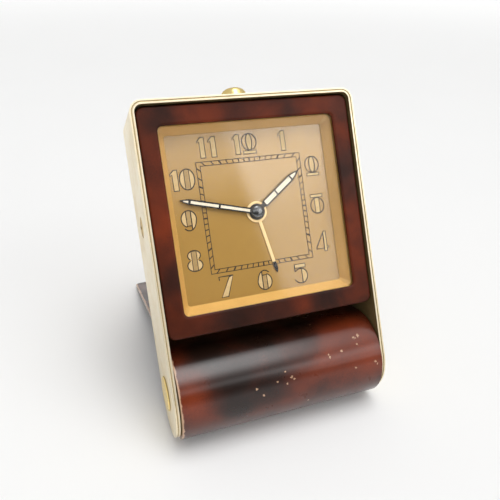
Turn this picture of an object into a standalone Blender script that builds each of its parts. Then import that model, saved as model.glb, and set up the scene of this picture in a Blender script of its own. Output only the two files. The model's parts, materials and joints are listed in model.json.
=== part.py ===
"""A folding travel alarm clock, standing open on its own cover.

Lengths are millimetres, and UNIT turns them into metres when a mesh is made. The clock's own axes start on
the cover's hinge axis: x to the right, y to the back, z up along the case. They lean back by LEAN on an
empty that carries every piece. Each moving piece hangs on a second empty, which stands on its joint's axis.
"""

import math

import bmesh
import bpy
from mathutils import Matrix, Vector

UNIT = 0.001

# Outer frame, case and cover
FRAME_WIDTH = 63.0
FRAME_DEPTH = 24.0
FRAME_RISE = 78.5
FRAME_WALL = 1.2
FRAME_CORNER = 3.2
LEAN = math.radians(28.0)
CASE_HEIGHT = 59.8
CASE_WALL = 0.8
CASE_CORNER = 0.8
CASE_GAP = 0.6
COVER_THICK = 0.9
COVER_GAP = 0.3
COVER_SEAM = 0.4
RIVET_CAP_RADIUS = 4.9
RIVET_CAP_RISE = 0.7
RIVET_RADIUS = 2.0
END_DISC_THICK = 1.4
CASE_SCREW_RADIUS = 2.7
CASE_SCREW_SHANK = 0.9
CASE_SCREW_REACH = 2.0
CASE_SLOT_WIDTH = 0.7
CASE_SLOT_DEPTH = 0.45

# Front of the case: bezel, glass, flange and dial
BEZEL_RECESS = 1.0
BEZEL_DEPTH = 4.3
BEZEL_LIP = 0.9
BEZEL_EDGE = 0.7
WINDOW = 50.0
WINDOW_CORNER = 1.4
CRYSTAL_SEAT = 1.1
CRYSTAL_THICK = 1.0
FLANGE_WIDTH = 2.0
DIAL_DEPTH = 5.0
DIAL_THICK = 0.5
DIAL_FOOT_RADIUS = 0.7
DIAL_FOOT_REACH = 18.0

# Depths inside the case, from the dial to the back cover
PLATE_THICK = 1.0
BACK_SPACE = 2.8
BACK_THICK = 0.8
LEDGE_THICK = 1.0
LEDGE_WIDTH = 2.6
REAR_LIP_WIDTH = 3.4
SCREW_BOSS_WALL = 1.3
SCREW_BOSS_DEPTH = 1.6
FRONT_PLATE_CORNER = 1.0
BACK_PLATE_WIDTH = 48.0
BACK_PLATE_CORNER = 3.0
PILLAR_RADIUS = 1.5
PILLAR_INSET = 2.6
BACK_SCREW_INSET = 2.4
SCREW_RADIUS = 0.7
SCREW_HEAD_RADIUS = 1.5
SCREW_HEAD_RISE = 0.6
SCREW_SLOT_WIDTH = 0.5
SCREW_SLOT_DEPTH = 0.3
SLOT_CORNER = 0.05

# Clearances
SEAT_GAP = 0.2
RUN_GAP = 0.25
TOOTH_GAP = 0.35
CUT_MARGIN = 1.0

# Levels of the wheels behind the front plate, and of the motion work before it
WHEEL_THICK = 0.5
PINION_OVERHANG = 0.2
BARREL_LEVEL = 0.6
BARREL_TOOTH_WIDTH = 0.9
ESCAPE_LEVEL = 2.4
THIRD_LEVEL = 3.2
FOURTH_LEVEL = 4.8
STRIKE_LEVEL = 5.0
BALANCE_LEVEL = 5.0
CENTRE_LEVEL = 6.0
LAST_GAP = 0.3
CANNON_LIFT = 0.1
CANNON_WIDTH = 0.8
MINUTE_WHEEL_LIFT = 0.35
HOUR_WHEEL_LIFT = 1.2
MOTION_OVERHANG = 0.1
ALARM_WHEEL_LIFT = 1.95
ALARM_WHEEL_THICK = 0.4
DIAL_CLEARANCE = 0.15

# Hands, as they stand at rest: minutes and hours past twelve
MINUTES = 47.4
HOURS = 1.0
ALARM_HOURS = 5.6
HANDS = {
    "minute": {"length": 22.1, "tail": 5.0, "width": 1.3, "point": 2.2, "boss": 1.9, "pipe": 0.95},
    "hour": {"length": 17.3, "tail": 2.0, "width": 1.9, "point": 3.0, "boss": 2.6, "pipe": 1.6},
    "alarm": {"length": 18.2, "tail": 2.5, "width": 0.8, "point": 3.5, "boss": 3.2, "pipe": 2.25},
}
HAND_THICK = 0.2
HAND_STEP = 0.4
HAND_TIP = 0.24
HAND_BOSS_SWELL = 0.05
HAND_CAP_RADIUS = 2.2
HAND_CAP_RISE = 0.36

# Gears: teeth, and a module for each pair
BARREL_TEETH, CENTRE_PINION_TEETH, BARREL_MODULE = 48, 8, 0.46
CENTRE_TEETH, THIRD_PINION_TEETH, CENTRE_MODULE = 48, 6, 0.25
THIRD_TEETH, FOURTH_PINION_TEETH, THIRD_MODULE = 45, 6, 0.25
FOURTH_TEETH, ESCAPE_PINION_TEETH, FOURTH_MODULE = 48, 6, 0.22
CANNON_TEETH, MINUTE_TEETH, MOTION_MODULE = 10, 30, 0.36
MINUTE_PINION_TEETH, HOUR_TEETH = 8, 32
SET_PINION_TEETH, ALARM_TEETH, ALARM_SET_MODULE = 10, 32, 0.37
STRIKE_PINION_TEETH, ALARM_BARREL_TEETH, STRIKE_MODULE = 6, 40, 0.42
ESCAPE_TEETH, ESCAPE_RADIUS, ESCAPE_DEPTH = 15, 2.8, 0.8
STRIKE_TEETH, STRIKE_RADIUS, STRIKE_DEPTH = 12, 4.2, 1.0
RATCHET_TEETH, RATCHET_RADIUS, RATCHET_DEPTH = 12, 3.4, 0.7
RATCHET_LIFT, RATCHET_THICK = 0.3, 0.7

# Directions from one arbor to the next, seen from the front, anticlockwise from the right
BARREL_BEARING = math.radians(200.0)
THIRD_BEARING = math.radians(60.0)
FOURTH_BEARING = math.radians(112.0)
ESCAPE_BEARING = math.radians(165.0)
PALLET_BEARING = math.radians(182.0)
STRIKE_BEARING = math.radians(73.0)
HAMMER_BEARING = math.radians(85.0)
HAMMER_ARM_BEARING = math.radians(140.0)
CLICK_BEARING = math.radians(-70.0)
ALARM_CLICK_BEARING = math.radians(-110.0)
ALARM_BARREL_PLACE = Vector((13.5, -9.5))

# Escapement, hammer, barrels and setting parts
PALLET_DISTANCE = 3.7
PALLET_PIN = 0.22
LEVER_THICK = 0.4
BALANCE_DISTANCE = 10.2
BALANCE_RADIUS = 5.6
BALANCE_RIM = 0.9
BALANCE_ARM = 1.2
HAIRSPRING_RADIUS = 4.3
HAIRSPRING_WIDTH = 0.4
ROLLER_RADIUS = 1.0
COCK_WIDTH = 4.4
COCK_THICK = 1.0
COCK_FOOT_REACH = 3.8
FORK_SLOT = 0.28
FORK_HALF = 0.62
LEVER_HALF = 0.3
HAIRSPRING_OPENING = 0.7
POST_OPENING = 0.6
HAMMER_DISTANCE = 6.9
HAMMER_ARM = 23.6
HAMMER_HEAD_RADIUS = 2.0
HAMMER_HEAD_LEVEL = 1.0
HAMMER_THICK = 0.6
HAMMER_WIDTH = 1.4
HAMMER_PIN = 0.3
HAMMER_PIN_SPREAD = math.radians(25.0)
POST_RADIUS = 1.2
BARREL_WALL = 0.6
BARREL_RIM = 1.6
BARREL_FLOOR = 0.3
MAINSPRING_THICK = 0.3
MAINSPRING_START = 1.0
MAINSPRING_END = 0.5
HAIRSPRING_THICK = 0.2
SPRING_TURNS = 3
TURN_STEPS = 12
BARREL_DEPTH = 3.9
ALARM_BARREL_DEPTH = 3.1
BARREL_ARBOR = 1.2
SET_ARBOR = 0.6
TRAIN_ARBOR = 0.35
KNOB_RADIUS = 3.2
KNOB_DEPTH = 1.7
KNOB_RIBS = 12
KNOB_GROOVE = 0.92
KNOB_BEVEL = 0.4
KEY_SPAN = 13.0
KEY_DEPTH = 1.6
KEY_STEM = 1.4
KEY_BOSS = 2.4
KEY_WING = 1.3
CLICK_REACH = 2.6
CLICK_LENGTH = 3.0
CLICK_LEAN = 1.3
CLICK_WIDTH = 1.5

# Stop button
BUTTON_RADIUS = 3.9
BUTTON_RISE = 4.8
BUTTON_TRAVEL = 1.5
BUTTON_STEM = 1.1
BUTTON_WALL = 1.4
BUTTON_CROWN = 1.1
BUTTON_SHOULDER = 2.6
BUTTON_CLEARANCE = 2.3
SPRING_WIRE = 0.16
SPRING_CURLS = 4

# Sizes worked out from those above
END_RADIUS = FRAME_DEPTH / 2
CASE_WIDTH = FRAME_WIDTH - 2 * (FRAME_WALL + CASE_GAP)
CASE_TOP = FRAME_RISE - FRAME_WALL - CASE_GAP
FRONT_PLATE_INSET = CASE_WALL + SCREW_BOSS_DEPTH + RUN_GAP
DIAL_RISE = CASE_TOP - CASE_HEIGHT / 2
COVER_RADIUS = END_RADIUS + COVER_THICK
COVER_WIDTH = FRAME_WIDTH - 2 * (FRAME_WALL + COVER_GAP)
COVER_LENGTH = FRAME_RISE - FRAME_WALL - COVER_GAP
ROLL_TURN = 2 * math.pi - math.acos((COVER_RADIUS - COVER_THICK - COVER_SEAM) / COVER_RADIUS)
BEZEL_WIDTH = FRAME_WIDTH - 2 * FRAME_WALL - 0.4
BEZEL_HEIGHT = CASE_HEIGHT + 0.8
BEZEL_TOP = CASE_TOP + 0.2
BEZEL_CORNER = 2.2
BEZEL_FRONT = -END_RADIUS + BEZEL_RECESS
BEZEL_BACK = BEZEL_FRONT + BEZEL_DEPTH
CRYSTAL_FRONT = BEZEL_FRONT + BEZEL_LIP + SEAT_GAP / 2
CRYSTAL_BACK = CRYSTAL_FRONT + CRYSTAL_THICK
CRYSTAL_WIDTH = WINDOW + 2 * CRYSTAL_SEAT
DIAL_FACE = BEZEL_FRONT + DIAL_DEPTH
DIAL_BACK = DIAL_FACE + DIAL_THICK
FRONT_PLATE = DIAL_BACK + DIAL_CLEARANCE + ALARM_WHEEL_THICK + ALARM_WHEEL_LIFT
TRAIN_FRONT = FRONT_PLATE + PLATE_THICK
BACK_PLATE = TRAIN_FRONT + CENTRE_LEVEL + WHEEL_THICK + PINION_OVERHANG + LAST_GAP
BACK_PLATE_REAR = BACK_PLATE + PLATE_THICK
BACK_COVER = BACK_PLATE_REAR + BACK_SPACE
BACK_FACE = BACK_COVER + BACK_THICK
PIVOT_FRONT = FRONT_PLATE + SEAT_GAP
PIVOT_BACK = BACK_PLATE_REAR - SEAT_GAP
HAMMER_BACK = BACK_PLATE - 2 * SEAT_GAP

# The panel's slope when its edge meets the table, and how far the cover has opened by then
PROP_SLOPE = math.asin(COVER_RADIUS / math.hypot(COVER_LENGTH, COVER_RADIUS - COVER_THICK)) + math.atan2(
    COVER_RADIUS - COVER_THICK, COVER_LENGTH
)
PROP_TILT = LEAN - PROP_SLOPE
COVER_OPEN = math.radians(270.0) + PROP_TILT
BACK_COVER_FOOT = (COVER_RADIUS + COVER_GAP + BACK_FACE * math.sin(PROP_TILT)) / math.cos(PROP_TILT)
TIP_REACH = COVER_RADIUS * math.sin(PROP_SLOPE) + COVER_LENGTH * math.cos(PROP_SLOPE)

FINISHES = {
    "brass": ((0.80, 0.66, 0.40), 0.28, 1.0),
    "gilt": ((0.83, 0.72, 0.50), 0.32, 1.0),
    "steel": ((0.55, 0.56, 0.58), 0.30, 1.0),
    "lacquer": ((0.16, 0.045, 0.02), 0.22, 0.0),
    "dial": ((0.72, 0.55, 0.30), 0.40, 0.6),
    "black": ((0.02, 0.02, 0.02), 0.25, 0.0),
    "glass": ((0.9, 0.92, 0.9), 0.05, 0.0),
}


def step_out(place, bearing, distance):
    """The point at this bearing and distance from a place on the movement."""
    return place + distance * Vector((math.cos(bearing), math.sin(bearing)))


def centres(teeth, other_teeth, module):
    """Distance between the centres of two meshed gears."""
    return module * (teeth + other_teeth) / 2


# Places of the arbors, right and up from the dial's centre
CENTRE_AT = Vector((0.0, 0.0))
BARREL_AT = step_out(CENTRE_AT, BARREL_BEARING, centres(BARREL_TEETH, CENTRE_PINION_TEETH, BARREL_MODULE))
THIRD_AT = step_out(CENTRE_AT, THIRD_BEARING, centres(CENTRE_TEETH, THIRD_PINION_TEETH, CENTRE_MODULE))
FOURTH_AT = step_out(THIRD_AT, FOURTH_BEARING, centres(THIRD_TEETH, FOURTH_PINION_TEETH, THIRD_MODULE))
ESCAPE_AT = step_out(FOURTH_AT, ESCAPE_BEARING, centres(FOURTH_TEETH, ESCAPE_PINION_TEETH, FOURTH_MODULE))
PALLET_AT = step_out(ESCAPE_AT, PALLET_BEARING, PALLET_DISTANCE)
BALANCE_AT = step_out(ESCAPE_AT, PALLET_BEARING, BALANCE_DISTANCE)
HAND_SET_AT = Vector((0.0, -centres(CANNON_TEETH, MINUTE_TEETH, MOTION_MODULE)))
ALARM_SET_AT = Vector((centres(ALARM_TEETH, SET_PINION_TEETH, ALARM_SET_MODULE), 0.0))
STRIKE_AT = step_out(
    ALARM_BARREL_PLACE, STRIKE_BEARING, centres(ALARM_BARREL_TEETH, STRIKE_PINION_TEETH, STRIKE_MODULE)
)
HAMMER_AT = step_out(STRIKE_AT, HAMMER_BEARING, HAMMER_DISTANCE)
HAMMER_HEAD_AT = step_out(HAMMER_AT, HAMMER_ARM_BEARING, HAMMER_ARM)
POST_AT = step_out(
    HAMMER_HEAD_AT, HAMMER_ARM_BEARING + math.pi / 2, HAMMER_HEAD_RADIUS + POST_RADIUS + RUN_GAP
)
COCK_FOOT_AT = BALANCE_AT + Vector((0.0, -BALANCE_RADIUS - COCK_FOOT_REACH))


# Outlines: lists of points, anticlockwise


def circle(radius, sides=16, centre=(0.0, 0.0)):
    """A round outline."""
    points = []
    for i in range(sides):
        angle = 2 * math.pi * i / sides
        points.append((centre[0] + radius * math.cos(angle), centre[1] + radius * math.sin(angle)))
    return points


def rounded_box(width, height, corner, centre=(0.0, 0.0), arc=5):
    """A rectangle with round corners."""
    points = []
    for quarter, (side, up) in enumerate(((1, 1), (-1, 1), (-1, -1), (1, -1))):
        middle = (centre[0] + side * (width / 2 - corner), centre[1] + up * (height / 2 - corner))
        for i in range(arc + 1):
            angle = (quarter + i / arc) * math.pi / 2
            points.append((middle[0] + corner * math.cos(angle), middle[1] + corner * math.sin(angle)))
    return points


def bar(start, end, width, arc=6):
    """A straight bar with round ends."""
    along = Vector(end) - Vector(start)
    bearing = math.atan2(along.y, along.x)
    points = []
    for middle, first in ((end, -math.pi / 2), (start, math.pi / 2)):
        for i in range(arc + 1):
            angle = bearing + first + i * math.pi / arc
            points.append((middle[0] + width / 2 * math.cos(angle), middle[1] + width / 2 * math.sin(angle)))
    return points


def gear(teeth, module, phase=0.0):
    """A gear outline with a tooth at the angle phase: stub teeth, or pointed ones on a large wheel."""
    pitch_radius = teeth * module / 2
    root, tip = pitch_radius - 1.05 * module, pitch_radius + 0.75 * module
    root_half, tip_half = 0.55 * module, 0.36 * module
    tooth = [(root, -root_half), (tip, -tip_half), (tip, tip_half), (root, root_half)]
    if teeth > 20:
        tooth = [(root, -1.15 * module), (tip, 0.0), (root, 1.15 * module)]
    points = []
    for i in range(teeth):
        middle = phase + i * 2 * math.pi / teeth
        for radius, side in tooth:
            angle = middle + math.asin(side / radius)
            points.append((radius * math.cos(angle), radius * math.sin(angle)))
    return points


def saw_gear(teeth, radius, depth, phase=0.0):
    """A ratchet or escape wheel outline: one steep and one long flank to each tooth."""
    points = []
    for i in range(teeth):
        for share, reach in ((0.0, radius), (0.12, radius), (0.25, radius - depth)):
            angle = phase + (i + share) * 2 * math.pi / teeth
            points.append((reach * math.cos(angle), reach * math.sin(angle)))
    return points


def meshed(phase, teeth, other_teeth, bearing):
    """The phase of a gear that meshes with one of this phase, and lies at the bearing from it."""
    pitch = 2 * math.pi / teeth
    lead = (bearing - phase) % pitch
    return bearing + math.pi + lead * teeth / other_teeth + math.pi / other_teeth


# Solids


def add_object(name, bm, finish, parent, place=(0.0, 0.0, 0.0)):
    """A closed mesh, in millimetres, made an object with a material of its own."""
    bmesh.ops.recalc_face_normals(bm, faces=bm.faces[:])
    mesh = bpy.data.meshes.new(name)
    bm.to_mesh(mesh)
    bm.free()
    mesh.transform(Matrix.Scale(UNIT, 4))
    mesh.shade_smooth()
    mesh.set_sharp_from_angle(angle=math.radians(35.0))
    colour, roughness, metallic = FINISHES[finish]
    material = bpy.data.materials.new(name)
    material.use_nodes = True
    shader = material.node_tree.nodes["Principled BSDF"]
    shader.inputs["Base Color"].default_value = (*colour, 1.0)
    shader.inputs["Roughness"].default_value = roughness
    shader.inputs["Metallic"].default_value = metallic
    mesh.materials.append(material)
    obj = bpy.data.objects.new(name, mesh)
    bpy.context.scene.collection.objects.link(obj)
    obj.parent = parent
    obj.location = Vector(place) * UNIT
    return obj


def add_empty(name, parent=None, place=(0.0, 0.0, 0.0), tilt=0.0):
    """An empty on a joint's axis, turned by tilt about x."""
    empty = bpy.data.objects.new(name, None)
    bpy.context.scene.collection.objects.link(empty)
    empty.parent = parent
    empty.location = Vector(place) * UNIT
    empty.rotation_euler.x = tilt
    return empty


def on_axis(axis, point, along):
    """An outline's point at a distance along the axis x, y or z, in three dimensions."""
    p, q = point
    return {"x": (along, p, q), "y": (p, along, q), "z": (p, q, along)}[axis]


def add_loop(bm, outline, along, axis):
    """The points and edges of one outline."""
    points = [bm.verts.new(on_axis(axis, point, along)) for point in outline]
    edges = [bm.edges.new((points[i - 1], points[i])) for i in range(len(points))]
    return points, edges


def wall(bm, first, second):
    """Four-sided faces between two loops with as many points."""
    for i in range(len(first)):
        bm.faces.new((first[i - 1], first[i], second[i], second[i - 1]))


def rings(levels, axis="y", closed=False):
    """A solid through outlines given with their places along the axis.

    Two levels at one place are joined by a flat face between them, and others by a wall. A closed solid runs
    from the last level back to the first, round a bore, and an open one is capped at both ends.
    """
    bm = bmesh.new()
    loops = [add_loop(bm, outline, along, axis) for outline, along in levels]
    pairs = list(range(len(levels) if closed else len(levels) - 1))
    for i in pairs:
        j = (i + 1) % len(levels)
        if levels[i][1] == levels[j][1]:
            bmesh.ops.triangle_fill(bm, use_beauty=True, edges=loops[i][1] + loops[j][1])
        else:
            wall(bm, loops[i][0], loops[j][0])
    if not closed:
        bm.faces.new(loops[0][0])
        bm.faces.new(loops[-1][0])
    return bm


def plate(outline, holes, front, back, axis="y"):
    """A flat plate with holes through it."""
    bm = bmesh.new()
    faces = []
    for along in (front, back):
        loops = [add_loop(bm, one, along, axis) for one in [outline, *holes]]
        bmesh.ops.triangle_fill(bm, use_beauty=True, edges=[edge for loop in loops for edge in loop[1]])
        faces.append(loops)
    for near, far in zip(*faces):
        wall(bm, near[0], far[0])
    return bm


def swept_frame(width, height, profile, centre=(0.0, 0.0), arc=3):
    """A picture frame: profile rows of (inset from the outside, depth, corner radius), closed on itself."""
    bm = bmesh.new()
    loops = []
    for inset, depth, corner in profile:
        outline = rounded_box(width - 2 * inset, height - 2 * inset, corner, centre, arc)
        loops.append(add_loop(bm, outline, depth, "y"))
    for i in range(len(loops)):
        wall(bm, loops[i - 1][0], loops[i][0])
    return bm


def corner_cut(side, across, up, radius, arc=6):
    """What rounds off an upper corner at this place across and up: the corner outside its arc."""
    far, top = across + CUT_MARGIN, up + CUT_MARGIN
    points = [(across - radius, top), (far, top), (far, up - radius)]
    for i in range(arc + 1):
        angle = math.pi / 2 * i / arc
        points.append((across - radius + radius * math.cos(angle), up - radius + radius * math.sin(angle)))
    return [(side * x, z) for x, z in points]


def swept_ribbon(path, half_width, front, back):
    """An upright ribbon along a flat path of points."""
    sides = []
    for shift in (half_width, -half_width):
        side = []
        for i, point in enumerate(path):
            ahead = Vector(path[min(i + 1, len(path) - 1)]) - Vector(path[max(i - 1, 0)])
            across = Vector((-ahead.y, ahead.x)).normalized()
            side.append(tuple(Vector(point) + shift * across))
        sides.append(side)
    return plate(sides[0] + sides[1][::-1], [], front, back)


def spiral(inner, outer, turns, steps):
    """Points of a flat spiral."""
    count = int(turns * steps)
    points = []
    for i in range(count + 1):
        angle = 2 * math.pi * i / steps
        radius = inner + (outer - inner) * i / count
        points.append((radius * math.cos(angle), radius * math.sin(angle)))
    return points


def least_turn_gap(path, steps, thickness):
    """The least distance between one turn and the next along a path, less the material's thickness."""
    skip = steps // 2
    gaps = [
        (Vector(a) - Vector(b)).length for i, a in enumerate(path) for b in path[i + skip :]
    ]
    return min(gaps) - thickness


def arbor(levels):
    """Rings of a plain arbor from rows of (radius, from, to), front to back."""
    stack = []
    for radius, start, end in levels:
        stack += [(circle(radius, 12), start), (circle(radius, 12), end)]
    return stack


def helper(bm, parent, name):
    """A solid that only shapes another one."""
    obj = add_object(name, bm, "steel", parent)
    obj.hide_render = True
    obj.display_type = "WIRE"
    return obj


def shape(obj, operation, bm, parent=None):
    """Joins a solid to an object, cuts it away, or keeps what the two share."""
    number = len(obj.modifiers) + 1
    modifier = obj.modifiers.new(f"{operation.lower()}_{number}", "BOOLEAN")
    modifier.operation = operation
    modifier.solver = "EXACT"
    modifier.object = helper(bm, parent or obj.parent, f"{obj.name}_{operation.lower()}_{number}")


# Frame and cover


def make_frame(clock):
    """The brass strap: two side plates with half-round ends, joined over the top."""
    half, drop = FRAME_WIDTH / 2, END_RADIUS + CUT_MARGIN
    tall, low = 2 * (FRAME_RISE + drop), (0.0, -drop)
    outside = rounded_box(FRAME_WIDTH, tall, FRAME_CORNER, low)
    inside = rounded_box(
        FRAME_WIDTH - 2 * FRAME_WALL, tall - 2 * FRAME_WALL, FRAME_CORNER - FRAME_WALL, low
    )
    outer_arch = [point for point in outside if point[1] > 0]
    inner_arch = [point for point in inside if point[1] > 0]
    outline = [(half, -drop), *outer_arch, (-half, -drop)]
    outline += [(-half + FRAME_WALL, -drop), *inner_arch[::-1], (half - FRAME_WALL, -drop)]
    frame = add_object("outer_frame", plate(outline, [], -END_RADIUS, END_RADIUS), "gilt", clock)

    beyond, above = half + CUT_MARGIN, FRAME_RISE + CUT_MARGIN
    side = [(END_RADIUS, above), (-END_RADIUS, above)]
    arc = 24
    for i in range(arc + 1):
        angle = math.pi + math.pi * i / arc
        side.append((END_RADIUS * math.cos(angle), END_RADIUS * math.sin(angle)))
    shape(frame, "INTERSECT", plate(side, [], -beyond, beyond, "x"))

    rivet_hole = circle(RIVET_RADIUS + RUN_GAP, 24)
    shape(frame, "DIFFERENCE", plate(rivet_hole, [], -beyond, beyond, "x"))
    for side_sign in (-1, 1):
        shape(frame, "DIFFERENCE", case_screw_solid(side_sign, RUN_GAP))
    button_hole = circle(BUTTON_STEM + RUN_GAP, 16)
    below = FRAME_RISE - FRAME_WALL - CASE_GAP / 2
    shape(frame, "DIFFERENCE", plate(button_hole, [], below, above, "z"))


def case_screw_solid(side, spare=0.0):
    """A countersunk screw through a side plate into the case, grown by spare for its hole."""
    half = FRAME_WIDTH / 2
    head, shank = CASE_SCREW_RADIUS + spare, CASE_SCREW_SHANK + spare
    inner_end = CASE_WIDTH / 2 - CASE_WALL - CASE_SCREW_REACH
    face = half + CUT_MARGIN if spare else half - SEAT_GAP
    waist = half - FRAME_WALL + SEAT_GAP
    centre = (0.0, DIAL_RISE)
    levels = [
        (circle(head, 20, centre), side * face),
        (circle(head, 20, centre), side * (half - 2 * SEAT_GAP)),
        (circle(shank, 20, centre), side * waist),
        (circle(shank, 20, centre), side * inner_end),
    ]
    return rings(levels, "x")


def make_hinge_rivets(clock):
    """A domed cap outside each side plate, on a pin that runs through the plate into the roll's end disc."""
    half = FRAME_WIDTH / 2
    pin_end = COVER_WIDTH / 2 - END_DISC_THICK - SEAT_GAP
    for name, side in (("hinge_rivet_left", -1), ("hinge_rivet_right", 1)):
        cap_face = half + SEAT_GAP / 2
        levels = [
            (circle(RIVET_RADIUS, 28), side * pin_end),
            (circle(RIVET_RADIUS, 28), side * cap_face),
            (circle(RIVET_CAP_RADIUS, 28), side * cap_face),
            (circle(RIVET_CAP_RADIUS, 28), side * (cap_face + 0.35 * RIVET_CAP_RISE)),
            (circle(0.92 * RIVET_CAP_RADIUS, 28), side * (cap_face + 0.7 * RIVET_CAP_RISE)),
            (circle(0.6 * RIVET_CAP_RADIUS, 28), side * (cap_face + RIVET_CAP_RISE)),
        ]
        add_object(name, rings(levels, "x"), "brass", clock)


def make_cover(clock):
    """The lacquered sheet: a flat panel that runs into a roll round the hinge, with a disc in each end."""
    cover = add_empty("cover_axis", clock, tilt=COVER_OPEN)
    inner = COVER_RADIUS - COVER_THICK
    steps = 40
    outside = [(-COVER_RADIUS, COVER_LENGTH)]
    inside = [(-inner, COVER_LENGTH)]
    for i in range(steps + 1):
        angle = math.pi + ROLL_TURN * i / steps
        outside.append((COVER_RADIUS * math.cos(angle), COVER_RADIUS * math.sin(angle)))
        inside.append((inner * math.cos(angle), inner * math.sin(angle)))
    half = COVER_WIDTH / 2
    sheet = add_object("cover", plate(outside + inside[::-1], [], -half, half, "x"), "lacquer", cover)
    for side in (-1, 1):
        corner = corner_cut(side, half, COVER_LENGTH, FRAME_CORNER - FRAME_WALL)
        shape(sheet, "DIFFERENCE", plate(corner, [], -COVER_RADIUS - CUT_MARGIN, -inner + CUT_MARGIN))
    for name, side in (("cover_end_left", -1), ("cover_end_right", 1)):
        disc, hole = circle(inner - SEAT_GAP, 40), circle(RIVET_RADIUS + RUN_GAP, 24)
        levels = sorted((side * half, side * (half - END_DISC_THICK)))
        add_object(name, plate(disc, [hole], *levels, "x"), "brass", cover)


# Case


def make_case(clock):
    """The square box inside the frame, with a ledge for the movement and a lip for the back cover."""
    front = BEZEL_BACK + SEAT_GAP
    rear = BACK_COVER - SEAT_GAP
    ledge = FRONT_PLATE + PLATE_THICK + SEAT_GAP
    ledge_back = ledge + LEDGE_THICK
    lip = rear - LEDGE_THICK
    inner_corner = CASE_CORNER / 2
    profile = [
        (0.0, front, CASE_CORNER),
        (0.0, rear, CASE_CORNER),
        (CASE_WALL + REAR_LIP_WIDTH, rear, inner_corner),
        (CASE_WALL + REAR_LIP_WIDTH, lip, inner_corner),
        (CASE_WALL, lip, inner_corner),
        (CASE_WALL, ledge_back, inner_corner),
        (CASE_WALL + LEDGE_WIDTH, ledge_back, inner_corner),
        (CASE_WALL + LEDGE_WIDTH, ledge, inner_corner),
        (CASE_WALL, ledge, inner_corner),
        (CASE_WALL, front, inner_corner),
    ]
    solid = swept_frame(CASE_WIDTH, CASE_HEIGHT, profile, (0.0, DIAL_RISE), 2)
    case = add_object("inner_case", solid, "gilt", clock)
    boss = circle(CASE_SCREW_SHANK + SCREW_BOSS_WALL, 20, (0.0, DIAL_RISE))
    for side in (-1, 1):
        outer = side * (CASE_WIDTH / 2 - CASE_WALL / 2)
        inner = side * (CASE_WIDTH / 2 - CASE_WALL - SCREW_BOSS_DEPTH)
        shape(case, "UNION", plate(boss, [], *sorted((outer, inner)), "x"))
    bolt_hole = circle(CASE_SCREW_SHANK + RUN_GAP, 16, (0.0, DIAL_RISE))
    shape(case, "DIFFERENCE", plate(bolt_hole, [], -FRAME_WIDTH / 2, FRAME_WIDTH / 2, "x"))
    for place in back_screw_places():
        hole = circle(SCREW_RADIUS + RUN_GAP, 12, place)
        shape(case, "DIFFERENCE", plate(hole, [], lip - CUT_MARGIN, rear + CUT_MARGIN))
    button_hole = circle(BUTTON_STEM + RUN_GAP, 16)
    below_ledge = CASE_TOP - CASE_WALL - LEDGE_WIDTH - CUT_MARGIN
    shape(case, "DIFFERENCE", plate(button_hole, [], below_ledge, CASE_TOP + CUT_MARGIN, "z"))
    for name, side in (("case_screw_left", -1), ("case_screw_right", 1)):
        screw = add_object(name, case_screw_solid(side), "brass", clock)
        slot_length = 2 * (CASE_SCREW_RADIUS + CUT_MARGIN)
        slot = rounded_box(CASE_SLOT_WIDTH, slot_length, SLOT_CORNER, (0.0, DIAL_RISE), 2)
        outer = FRAME_WIDTH / 2 - SEAT_GAP
        ends = sorted((side * (outer - CASE_SLOT_DEPTH), side * (outer + CUT_MARGIN)))
        shape(screw, "DIFFERENCE", plate(slot, [], *ends, "x"))


def back_screw_places():
    """Where the back cover's four screws stand, in the clock's own x and z."""
    across = CASE_WIDTH / 2 - BACK_SCREW_INSET
    up = CASE_HEIGHT / 2 - BACK_SCREW_INSET
    return [(side * across, DIAL_RISE + rise * up) for rise in (1, -1) for side in (-1, 1)]


def make_back_cover(clock):
    """The plate over the movement's back. Its lower edge is the stop that the open cover leans on."""
    width, height = CASE_WIDTH, CASE_TOP - BACK_COVER_FOOT
    outline = rounded_box(width, height, CASE_CORNER, (0.0, CASE_TOP - height / 2))
    holes = [circle(SCREW_RADIUS + RUN_GAP, 12, place) for place in back_screw_places()]
    for place, radius in (
        (HAND_SET_AT, SET_ARBOR),
        (ALARM_SET_AT, SET_ARBOR),
        (BARREL_AT, KEY_STEM),
        (ALARM_BARREL_PLACE, KEY_STEM),
    ):
        holes.append(circle(radius + RUN_GAP, 16, (place.x, DIAL_RISE + place.y)))
    add_object("back_cover", plate(outline, holes, BACK_COVER, BACK_FACE), "gilt", clock)
    for number, place in enumerate(back_screw_places(), 1):
        head = BACK_FACE + SEAT_GAP / 2
        levels = [
            (circle(SCREW_RADIUS, 12, place), BACK_COVER - SEAT_GAP - LEDGE_THICK),
            (circle(SCREW_RADIUS, 12, place), head),
            (circle(SCREW_HEAD_RADIUS, 16, place), head),
            (circle(SCREW_HEAD_RADIUS, 16, place), head + SCREW_HEAD_RISE),
        ]
        screw = add_object(f"back_screw_{number}", rings(levels), "brass", clock)
        slot = rounded_box(2 * (SCREW_HEAD_RADIUS + CUT_MARGIN), SCREW_SLOT_WIDTH, SLOT_CORNER, place, 2)
        top = head + SCREW_HEAD_RISE
        shape(screw, "DIFFERENCE", plate(slot, [], top - SCREW_SLOT_DEPTH, top + CUT_MARGIN))
    post = circle(POST_RADIUS, 16, (POST_AT.x, DIAL_RISE + POST_AT.y))
    post_front = TRAIN_FRONT + HAMMER_HEAD_LEVEL
    add_object("sounding_post", plate(post, [], post_front, BACK_COVER - SEAT_GAP / 2), "steel", clock)


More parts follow.
